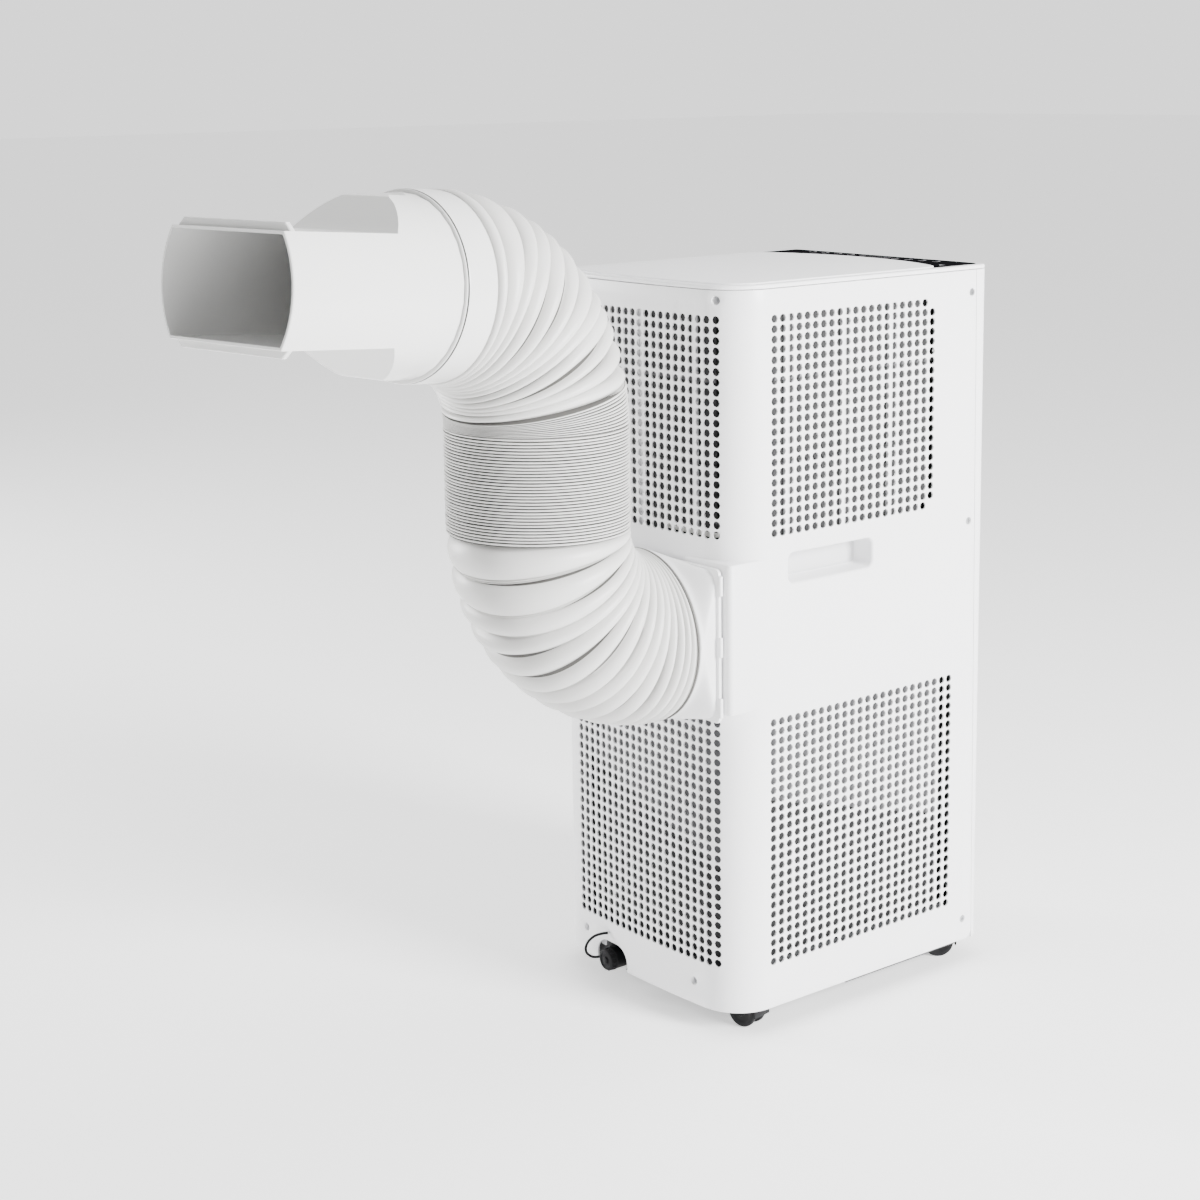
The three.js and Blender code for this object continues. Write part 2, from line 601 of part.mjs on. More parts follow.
function nozzleBody() {
  const { mouthR, length, wall, halfHeight, flangeHalf, flangeThick, lip, collarLength } = NOZZLE;
  const chord = Math.sqrt(mouthR ** 2 - halfHeight ** 2);
  const bevel = chord - 4;
  const flange = polygon([
    [-chord, -halfHeight], [-bevel, -flangeHalf], [bevel, -flangeHalf], [chord, -halfHeight],
    [chord, halfHeight], [bevel, flangeHalf], [-bevel, flangeHalf], [-chord, halfHeight],
  ]);
  return cut(
    join(nozzleForm(0, collarLength, length), upright(flange, length - lip - flangeThick, length - lip)),
    nozzleForm(wall, collarLength - 1, length + 1));
}

// ---------------------------------------------------------------- assembly
const ac = new THREE.Group();
const place = (part, x, y, z) => {
  part.position.set(x, y, z);
  return part;
};
const at = (part, { x, y, z }) => place(part, x, y, z);

ac.add(
  mesh('rear_cover', rearCover(), WHITE),
  mesh('front_cover', frontCover(), WHITE),
  mesh('top_cover', topCover(), WHITE),
  mesh('control_fascia', controlFascia(), GLOSS_BLACK),
  mesh('control_board', box(-80, 80, -147, -134, COVER_TOP - 17, COVER_TOP - 15), BOARD_GREEN),
  mesh('base_pan', basePan(), PAN_GREY));

SIDE_SCREWS.forEach(({ side, z }, i) => {
  const body = solid(screw().rotateZ(-side * Math.PI / 2));
  ac.add(place(mesh(`side_screw_${i + 1}`, body, STEEL), side * (halfW - 0.3), SIDE_SCREW.y, z));
});
REAR_SCREWS.forEach(({ x, z, depth }, i) => {
  const head = halfD - depth + REAR_WELL.floor + SCREW.headDepth + GAP;
  ac.add(place(mesh(`rear_screw_${i + 1}`, solid(screw()), STEEL), x, head, z));
});

for (const { name, x, y, turn } of CASTERS) {
  const caster = place(new THREE.Group(), x, y, 0);
  caster.rotation.z = deg(turn);
  caster.add(
    mesh(`caster_hood_${name}`, casterHood(), BLACK),
    mesh(`caster_wheels_${name}`, casterWheels(), BLACK));
  ac.add(caster);
}

// Cold air path, above the deck.
const pipeHole = bar(9, 20, 'z', 104, -60, DECK.bottom - 5, 12);
ac.add(
  mesh('partition_deck', cut(upright(planShape(DECK.inset), DECK.bottom, DECK.top, 3), pipeHole), FOAM_WHITE),
  mesh('evaporator', finBlock(-98, 98, 98, 128, 470, 655, 12), FIN_METAL),
  at(mesh('evap_wheel', blowerWheel(EVAP_FAN), BLACK), EVAP_FAN),
  at(mesh('evap_motor', motor(30, 70, 42, -10), MOTOR_GREY), EVAP_FAN),
  mesh('electrical_box', cut(box(-117, -74, -118, 40, 474, 590), box(-118, -77, -115, 37, 477, 587)), FOAM_WHITE),
  mesh('run_capacitor', bar(17, 62, 'z', -96, 66, DECK.top + GAP, 16), STEEL),
  mesh('louver_frame', louverFrame(), BLACK),
  mesh('louver_flap', louverFlap(), WHITE));

const evapScroll = at(mesh('evap_scroll', scroll(EVAP_FAN), FOAM_WHITE), EVAP_FAN);
evapScroll.rotation.z = Math.PI;
ac.add(evapScroll);

VANES.xs.forEach((x, i) => {
  ac.add(place(mesh(`louver_vane_${i + 1}`, louverVane(), BLACK), x, VANES.y, 0));
});

for (const side of [-1, 1]) {
  const name = side < 0 ? 'air_filter_left' : 'air_filter_right';
  const panel = filterPanel(212, 204, 2.5, 4, 4, 7);
  ac.add(place(mesh(name, panel, FOAM_WHITE), side * (halfW - 6) - 1.25, -110, DECK.top + 2));
}
const rearFilter = mesh('air_filter_rear', filterPanel(190, 190, 2.5, 4, 4, 7), FOAM_WHITE);
rearFilter.rotation.z = Math.PI / 2;
ac.add(place(rearFilter, 95, 150, DECK.top + 2));

// Heat rejection and refrigeration, below the deck.
ac.add(
  mesh('condenser', finBlock(-108, 108, 108, 136, 66, 300, 13), FIN_METAL),
  place(mesh('compressor', compressorBody(), BLACK), 52, -75, PAN.floor + GAP),
  mesh('suction_accumulator', bar(17, 130, 'z', -16, -106, PAN.floor + 14, 16), BLACK),
  mesh('discharge_pipe', pipe([
    [52, -75, 239], [52, -75, 252], [88, -40, 262], [112, 20, 262], [108, 70, 262], [100, 95, 262], [100, 107, 262],
  ], 4), COPPER),
  mesh('suction_pipe', pipe([
    [-16, -106, 188.8], [-16, -106, 200], [50, -126, 260], [98, -110, 310], [104, -72, 380], [104, -60, 462],
    [104, -30, 490], [100, 40, 512], [90, 85, 520], [90, 97, 520],
  ], 5), COPPER),
  at(mesh('exhaust_scroll', scroll(EXHAUST_FAN), FOAM_WHITE), EXHAUST_FAN),
  at(mesh('exhaust_wheel', blowerWheel(EXHAUST_FAN), BLACK), EXHAUST_FAN),
  at(mesh('exhaust_motor', motor(30, 56, 40, -10), MOTOR_GREY), EXHAUST_FAN),
  mesh('float_switch', bar(9, 22, 'z', -60, -90, PAN.floor + GAP, 12), BLACK));

// Drain.
ac.add(
  mesh('drain_spout', drainSpout(), PAN_GREY),
  mesh('drain_plug', drainPlug(), RUBBER),
  mesh('drain_plug_strap', pipe(STRAP_ROUTE, STRAP.r), RUBBER),
  mesh('cord_gland', cordGland(), BLACK));

// Exhaust duct, from the rear boss to the window nozzle.
const hose = place(new THREE.Group(), DUCT_X, JOINT_Y + GAP, DUCT_Z);
const bendFoot = HOSE_COLLAR + GAP;
const collar = mesh('hose_collar', tube(DUCT_R, DUCT_BORE_R, 0, HOSE_COLLAR), DUCT_WHITE);
collar.rotation.x = -Math.PI / 2;
const lowerBend = mesh('hose_lower_bend', hoseBend(new Bend(LOWER_R, 90, false)), DUCT_WHITE);
const middle = mesh('hose_middle', tube(DUCT_R, DUCT_BORE_R, GAP, MIDDLE_LENGTH, BEND_SIDES), DUCT_WHITE);
hose.add(collar, place(lowerBend, 0, bendFoot, 0), place(middle, 0, bendFoot + LOWER_R, LOWER_R));

const upperTurn = 90 - NOZZLE_RISE;
const upperCurve = new Bend(UPPER_R, upperTurn, true);
const upper = place(new THREE.Group(), 0, bendFoot + LOWER_R, LOWER_R + MIDDLE_LENGTH + GAP);
upper.rotation.z = deg(NOZZLE_YAW);
const outlet = at(new THREE.Group(), upperCurve.getPoint(1));
outlet.rotation.x = -deg(upperTurn);
outlet.add(
  mesh('nozzle_collar', tube(NOZZLE.collarR, DUCT_BORE_R - 3, GAP, NOZZLE.collarLength - GAP), WHITE),
  mesh('nozzle', nozzleBody(), WHITE));
upper.add(mesh('hose_upper_bend', hoseBend(upperCurve), DUCT_WHITE), outlet);
hose.add(upper);
ac.add(mesh('duct_adapter', ductAdapter(), WHITE), hose);

// The origin is on the floor, under the middle of the whole object.
const whole = new THREE.Box3().setFromObject(ac);
const centre = whole.getCenter(new THREE.Vector3());
ac.position.set(-centre.x, -centre.y, -whole.min.z);

export default ac;
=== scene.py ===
"""Portable air conditioner: the looks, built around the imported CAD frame.

Lengths are millimetres in the body's own frame (X across, Y front to rear, Z up from the floor)
and are turned into the row's metres by body() and nozzle(). Pieces are made in mesh code, from
rings of points (Part) or from an unrolled wall with real air holes (WallPart).
"""
import json
import math

import bmesh
import bpy
import numpy as np
from mathutils import Matrix, Vector
from mathutils.geometry import delaunay_2d_cdt

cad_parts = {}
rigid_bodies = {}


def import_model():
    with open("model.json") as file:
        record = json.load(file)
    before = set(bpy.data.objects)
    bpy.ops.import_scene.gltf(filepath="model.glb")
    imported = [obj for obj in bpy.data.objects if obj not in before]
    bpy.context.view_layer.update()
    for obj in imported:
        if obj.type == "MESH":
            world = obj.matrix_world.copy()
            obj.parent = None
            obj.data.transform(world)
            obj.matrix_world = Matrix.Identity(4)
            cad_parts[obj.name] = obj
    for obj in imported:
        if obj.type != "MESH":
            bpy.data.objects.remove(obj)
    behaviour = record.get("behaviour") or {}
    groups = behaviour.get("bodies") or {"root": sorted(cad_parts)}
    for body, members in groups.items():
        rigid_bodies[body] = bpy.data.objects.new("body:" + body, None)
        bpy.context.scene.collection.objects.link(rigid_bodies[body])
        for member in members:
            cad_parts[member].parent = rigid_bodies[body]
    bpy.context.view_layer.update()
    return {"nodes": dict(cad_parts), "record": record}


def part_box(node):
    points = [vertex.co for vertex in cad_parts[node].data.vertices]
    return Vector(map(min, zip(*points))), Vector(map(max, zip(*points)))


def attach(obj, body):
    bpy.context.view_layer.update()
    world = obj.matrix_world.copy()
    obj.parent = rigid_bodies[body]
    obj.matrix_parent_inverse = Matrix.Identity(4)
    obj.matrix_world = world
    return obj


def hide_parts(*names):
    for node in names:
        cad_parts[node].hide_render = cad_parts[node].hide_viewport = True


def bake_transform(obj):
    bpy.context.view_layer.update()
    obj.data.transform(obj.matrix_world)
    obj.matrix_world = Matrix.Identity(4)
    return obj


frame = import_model()
MM = 0.001

# ---------------------------------------------------------------- frames of reference
COVER_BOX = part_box("rear_cover")
TOP_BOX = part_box("top_cover")
ORIGIN = np.array([(COVER_BOX[0].x + COVER_BOX[1].x) / 2, (TOP_BOX[0].y + TOP_BOX[1].y) / 2, 0.0])

NOZZLE_YAW = math.radians(8.5)
NOZZLE_RISE = math.radians(4.6)


def body(points):
    """Points in the body's frame, in mm, as points of the row, in metres."""
    return ORIGIN + np.asarray(points, float) * MM


def turn(axis, angle):
    return np.array(Matrix.Rotation(angle, 3, axis))


# ---------------------------------------------------------------- sizes, in mm
HALF_W = 131.0
HALF_D = 163.8
WALL = 2.6
COVER_BOTTOM = 21.0
COVER_TOP = 677.7
BODY_TOP = 682.0
PANEL_TOP = 683.2
SEAM_TOP_Y = -144.0
SEAM_BOTTOM_Y = -151.0
GRIP = {"y": 41.6, "z": 428.3, "length": 107.6, "height": 30.6, "radius": 8.0, "depth": 24.0}
NOTCH = {"x": 41.0, "width": 47.0, "top": 44.0, "radius": 16.0}
BOSS = {"bottom": 305.0, "top": 441.0}
REAR_SCREWS = [(-106, 669, 14), (103, 669, 14), (-77.1, 42.8, 8.4), (82.5, 46.6, 8.4)]
SIDE_SCREW_Y = -138.6
SIDE_SCREW_ZS = (42.5, 440, 657)
DUCT_X, DUCT_Z, DUCT_R = -39.3, 367.0, 79.5
PORT_R = 66.0
JOINT_Y = 185.4
BEND_START_Y = 188.8
LOWER_R, UPPER_R = 112.0, 126.0
MIDDLE_Z = (479.0, 570.0)
UPPER_SWEEP = math.radians(85.4)
OUTLET = {"z": 621.0, "width": 190.0, "height": 58.0, "radius": 4.0}
PLUG = {"x": 41.0, "z": 28.0, "face": 171.5}

# ---------------------------------------------------------------- camera
CAMERA_AT = (-1550.2, 1421.3, 864.2)
CAMERA_YAW, CAMERA_PITCH, CAMERA_ROLL = -0.6665, math.radians(10.352), math.radians(-0.810)


def add_camera():
    yaw, pitch, roll = CAMERA_YAW, CAMERA_PITCH, CAMERA_ROLL
    forward = Vector((math.cos(yaw) * math.cos(pitch), math.sin(yaw) * math.cos(pitch), -math.sin(pitch)))
    right = Vector((math.sin(yaw), -math.cos(yaw), 0))
    up = right.cross(forward)
    rolled_right = right * math.cos(roll) + up * math.sin(roll)
    rolled_up = up * math.cos(roll) - right * math.sin(roll)
    data = bpy.data.cameras.new("camera")
    data.lens = 67.20
    data.sensor_width = 36
    data.shift_y = -0.10
    data.clip_start, data.clip_end = 0.1, 50
    camera = bpy.data.objects.new("camera", data)
    basis = Matrix((rolled_right, rolled_up, -forward)).transposed()
    camera.matrix_world = Matrix.Translation(Vector(body(CAMERA_AT))) @ basis.to_4x4()
    bpy.context.scene.collection.objects.link(camera)
    bpy.context.scene.camera = camera


add_camera()


# ---------------------------------------------------------------- materials
def ramp(nodes, low, high, start=0.35, end=0.65):
    node = nodes.new("ShaderNodeValToRGB")
    node.color_ramp.elements[0].position = start
    node.color_ramp.elements[1].position = end
    node.color_ramp.elements[0].color = (*low, 1)
    node.color_ramp.elements[1].color = (*high, 1)
    return node


def moulded(name, colour, roughness, grain=1400, bump=0.05, shade=0.03, metallic=0.0,
            spread=0.06, specular=0.5):
    """A moulded or metal surface: slight cloudy colour, fine surface grain, uneven gloss."""
    material = bpy.data.materials.new(name)
    material.use_nodes = True
    nodes, links = material.node_tree.nodes, material.node_tree.links
    shader = nodes["Principled BSDF"]
    shader.inputs["Metallic"].default_value = metallic
    shader.inputs["Specular IOR Level"].default_value = specular
    where = nodes.new("ShaderNodeTexCoord")
    cloud = nodes.new("ShaderNodeTexNoise")
    cloud.inputs["Scale"].default_value = 7
    cloud.inputs["Detail"].default_value = 5
    fine = nodes.new("ShaderNodeTexNoise")
    fine.inputs["Scale"].default_value = grain
    fine.inputs["Detail"].default_value = 2
    links.new(where.outputs["Object"], cloud.inputs["Vector"])
    links.new(where.outputs["Object"], fine.inputs["Vector"])
    darker = tuple(c * (1 - shade) for c in colour)
    tint = ramp(nodes, darker, colour)
    links.new(cloud.outputs["Fac"], tint.inputs["Fac"])
    links.new(tint.outputs["Color"], shader.inputs["Base Color"])
    gloss = nodes.new("ShaderNodeMapRange")
    gloss.inputs["To Min"].default_value = max(0.02, roughness - spread)
    gloss.inputs["To Max"].default_value = roughness + spread
    links.new(fine.outputs["Fac"], gloss.inputs["Value"])
    links.new(gloss.outputs["Result"], shader.inputs["Roughness"])
    relief = nodes.new("ShaderNodeBump")
    relief.inputs["Strength"].default_value = bump
    relief.inputs["Distance"].default_value = 0.0002
    links.new(fine.outputs["Fac"], relief.inputs["Height"])
    links.new(relief.outputs["Normal"], shader.inputs["Normal"])
    return material


WHITE = moulded("body_white", (0.86, 0.86, 0.87), 0.36, grain=1600, bump=0.10, shade=0.015)
# Painted shade: a darker copy of the body white for the walls and floors of the grip pocket and the screw
# recesses, where shade falls.
POCKET_SHADE = moulded("pocket_painted_shade", (0.66, 0.66, 0.67), 0.36, grain=1600, bump=0.10, shade=0.015)
TOP_WHITE = moulded("top_white", (0.87, 0.87, 0.88), 0.30, grain=1600, bump=0.06, shade=0.012)
HOSE = moulded("hose_white", (0.64, 0.635, 0.62), 0.42, grain=900, bump=0.12, shade=0.04)
# Painted shade: a near-black copy of the hose white for the faces in the creases and grooves of the hose and
# the nozzle's cuff, where shade falls.
CREASE_SHADE = moulded("hose_crease_shade", (0.11, 0.107, 0.10), 0.6, grain=900, bump=0.12, shade=0.1)
NOZZLE_MAT = moulded("nozzle_white", (0.73, 0.73, 0.72), 0.2, grain=500, bump=0.03, shade=0.015)
GLOSS = moulded("fascia_black", (0.006, 0.006, 0.007), 0.2, grain=700, bump=0.01, spread=0.03, specular=0.0)
MARK = moulded("print_grey", (0.32, 0.32, 0.33), 0.4)
BLACK = moulded("caster_black", (0.012, 0.012, 0.013), 0.42, grain=1100, bump=0.16, specular=0.12)
RUBBER = moulded("rubber_black", (0.010, 0.010, 0.011), 0.55, grain=1300, bump=0.2, specular=0.1)
DARK = moulded("black_plastic", (0.016, 0.016, 0.017), 0.6, grain=900, bump=0.2)
# Painted light and shade: the grey for the lit upper interior seen through the lower grids; also the grey
# rails of the filter screens.
SHADOW_GREY = moulded("rail_and_interior_shade_grey", (0.13, 0.13, 0.135), 0.6, grain=700, bump=0.2, shade=0.35)
# Painted shade: mid grey for the white-grey bracket beside the drain plug, which sits in the notch's shade.
BRACKET_SHADE_GREY = moulded("bracket_shade_grey", (0.42, 0.42, 0.43), 0.5, grain=900, bump=0.15, shade=0.1)
PAN_GREY = moulded("pan_grey", (0.035, 0.036, 0.038), 0.55, grain=1000, bump=0.18)
STEEL = moulded("steel", (0.52, 0.53, 0.54), 0.3, grain=1800, bump=0.06, metallic=1.0)
COPPER = moulded("copper", (0.50, 0.21, 0.11), 0.3, grain=1200, bump=0.05, shade=0.25, metallic=1.0)
FINS = moulded("fin_metal", (0.36, 0.38, 0.39), 0.42, grain=1500, bump=0.3, shade=0.15, metallic=0.9)
MOTOR = moulded("motor_grey", (0.13, 0.135, 0.14), 0.45, grain=1200, bump=0.2, metallic=0.5)
BOARD = moulded("board_green", (0.02, 0.10, 0.05), 0.45, grain=900, bump=0.2, shade=0.3)
FOAM = moulded("foam_white", (0.75, 0.75, 0.72), 0.85, grain=330, bump=0.6, shade=0.08)

CAD_FINISH = {
    "body_white": WHITE, "hose_white": HOSE, "nozzle_white": NOZZLE_MAT, "fascia_black": GLOSS,
    "caster_black": BLACK, "rubber_black": RUBBER, "pan_grey": PAN_GREY, "steel": STEEL,
    "copper": COPPER, "fin_metal": FINS, "motor_grey": MOTOR, "board_green": BOARD,
    "foam_white": FOAM, "black_plastic": DARK,
}
for row in frame["record"]["subparts"]:
    node = frame["nodes"][row["node"]]
    for material_slot in node.material_slots:
        material_slot.link = "OBJECT"
        material_slot.material = CAD_FINISH[row["material_slot"]]


# ---------------------------------------------------------------- meshes
class Part:
    """A mesh in the making: vertices in one frame, in mm, and faces with a material index."""

    def __init__(self):
        self.points = []
        self.faces = []
        self.kinds = []

    def add(self, points):
        first = len(self.points)
        self.points.extend([tuple(float(c) for c in p) for p in points])
        return list(range(first, len(self.points)))

    def face(self, ids, kind=0):
        self.faces.append(tuple(ids))
        self.kinds.append(kind)

    def band(self, a, b, closed=True, kind=0):
        count = len(a) if closed else len(a) - 1
        for i in range(count):
            j = (i + 1) % len(a)
            self.face((a[i], a[j], b[j], b[i]), kind)

    def loft(self, rings, caps=True, closed=True, kind=0):
        ids = [self.add(ring) for ring in rings]
        for a, b in zip(ids, ids[1:]):
            self.band(a, b, closed, kind)
        if caps:
            self.face(ids[0][::-1], kind)
            self.face(ids[-1], kind)
        return ids

    def hollow(self, rings, kinds=()):
        """A closed form of rings that return to the first one, with a material for each band."""
        ids = [self.add(ring) for ring in rings]
        for i, (a, b) in enumerate(zip(ids, ids[1:] + ids[:1])):
            self.band(a, b, True, kinds[i] if i < len(kinds) else 0)


def build(name, part, materials, sharp=35, place=body):
    mesh = bpy.data.meshes.new(name)
    mesh.from_pydata(place(np.array(part.points)).tolist(), [], part.faces)
    for material in materials:
        mesh.materials.append(material)
    mesh.polygons.foreach_set("material_index", part.kinds)
    mesh.validate()
    work = bmesh_of(mesh)
    work.to_mesh(mesh)
    work.free()
    mesh.shade_smooth()
    mesh.set_sharp_from_angle(angle=math.radians(sharp))
    piece = bpy.data.objects.new(name, mesh)
    bpy.context.scene.collection.objects.link(piece)
    return piece


def bmesh_of(mesh):
    work = bmesh.new()
    work.from_mesh(mesh)
    bmesh.ops.recalc_face_normals(work, faces=work.faces)
    return work


def circle(radius, count, start=0.0):
    a = start + np.arange(count) * 2 * math.pi / count
    return np.c_[np.cos(a), np.sin(a)] * radius


def rounded_rect(cx, cy, width, height, radius, steps=5):
    """Counterclockwise outline. The corners have steps + 1 points each."""
    points = []
    corners = ((1, -1, -90), (1, 1, 0), (-1, 1, 90), (-1, -1, 180))
    for sx, sy, start in corners:
        x = cx + sx * (width / 2 - radius)
        y = cy + sy * (height / 2 - radius)
        for k in range(steps + 1):
            a = math.radians(start + 90 * k / steps)
            points.append((x + radius * math.cos(a), y + radius * math.sin(a)))
    return np.array(points)


def resample(points, step, closed=True):
    """Adds points on the long edges, so that none is longer than step."""
    result = []
    count = len(points) if closed else len(points) - 1
    for i in range(count):
        a, b = points[i], points[(i + 1) % len(points)]
        parts = max(1, int(math.ceil(np.hypot(*(b - a)) / step)))
        result.extend(a + (b - a) * k / parts for k in range(parts))
    if not closed:
        result.append(points[-1])
    return np.array(result)


def offset(points, reach):
    """A closed counterclockwise outline moved outwards by reach."""
    ahead = np.roll(points, -1, axis=0) - points
    behind = points - np.roll(points, 1, axis=0)
    unit = [e / np.maximum(np.hypot(e[:, 0], e[:, 1]), 1e-9)[:, None] for e in (ahead, behind)]
    normals = [np.c_[e[:, 1], -e[:, 0]] for e in unit]
    mean = normals[0] + normals[1]
    mean /= np.maximum(np.sum(mean * normals[0], axis=1), 0.3)[:, None]
    return points + mean * reach


def lifted(outline, z):
    """An (x, y) outline at a height."""
    return np.c_[outline, np.full(len(outline), z)]


def upright(outline, y):
    """An (x, z) outline at a place along Y."""
    return np.c_[outline[:, 0], np.full(len(outline), y), outline[:, 1]]


def lathe_y(profile, x, z, count=36):
    """Rings round an axis along Y. profile lists (radius, y)."""
    return [upright(circle(r, count) + (x, z), y) for r, y in profile]


# ---------------------------------------------------------------- the unrolled walls
class Plan:
    """The outline of the covers seen from above, unrolled. s runs from the middle of the rear
    (or front) towards +X, and depth goes into the wall."""

    def __init__(self, facing, corner, sag, flat):
        self.facing = facing
        self.corner = corner
        self.crown = flat * flat / (2 * sag)
        self.cx = HALF_W - corner
        self.lean = math.asin(self.cx / (self.crown - corner))
        self.cy = HALF_D - self.crown + (self.crown - corner) * math.cos(self.lean)
        self.bend_start = self.crown * self.lean
        self.bend_end = self.bend_start + corner * (math.pi / 2 - self.lean)

    def point(self, s, z, depth=0.0):
        s, z = np.broadcast_arrays(np.asarray(s, float), np.asarray(z, float))
        depth = np.broadcast_to(np.asarray(depth, float), s.shape)
        side, a = np.sign(s), np.abs(s)
        curved = np.clip((a - self.bend_start) / self.corner, 0, math.pi / 2 - self.lean) + self.lean
        angle = np.where(a <= self.bend_start, a / self.crown, curved)
        on_crown = a <= self.bend_start
        x = np.where(on_crown, self.crown * np.sin(angle), self.cx + self.corner * np.sin(angle))
        y = np.where(on_crown, HALF_D - self.crown + self.crown * np.cos(angle),
                     self.cy + self.corner * np.cos(angle))
        y = y - np.maximum(a - self.bend_end, 0)
        x = side * (x - depth * np.sin(angle))
        y = self.facing * (y - depth * np.cos(angle))
        return np.stack([x, y, z], axis=-1)

    def s_of_side(self, y):
        return self.bend_end + self.cy - self.facing * y

    def s_of_x(self, x):
        if abs(x) <= self.crown * math.sin(self.lean):
            across = np.sin(np.linspace(0, self.lean, 60)) * self.crown
            s = float(np.interp(abs(x), across, np.linspace(0, self.bend_start, 60)))
        else:
            s = self.bend_start + self.corner * (math.asin((abs(x) - self.cx) / self.corner) - self.lean)
        return math.copysign(s, x)

    def stops(self, end):
        """Places along s that follow the curve: close together in the corners."""
        fine = np.linspace(self.bend_start - 2, self.bend_end + 2, 24)
        flat = np.linspace(0, fine[0], 8)[:-1]
        side = np.linspace(fine[-1], end, 20)[1:]
        half = np.concatenate([flat, fine, side])
        half = np.append(half[half < end - 0.6], end)
        return np.concatenate([-half[:0:-1], half])


REAR = Plan(1, 43.0, 2.7, 81.0)
FRONT = Plan(-1, 12.6, 0.8, 100.0)


PLAIN_RIM = [(0.25, 0.12), (0.4, 0.45), (0.4, 1.3)]     # (reach into an opening, depth)


def inside(points, polygon):
    x, y = points[:, 0], points[:, 1]
    result = np.zeros(len(points), bool)
    for (x0, y0), (x1, y1) in zip(polygon, np.roll(polygon, -1, axis=0)):
        if y0 != y1:
            at = (x1 - x0) * (y - y0) / (y1 - y0) + x0
            result ^= ((y0 > y) != (y1 > y)) & (x < at)
    return result


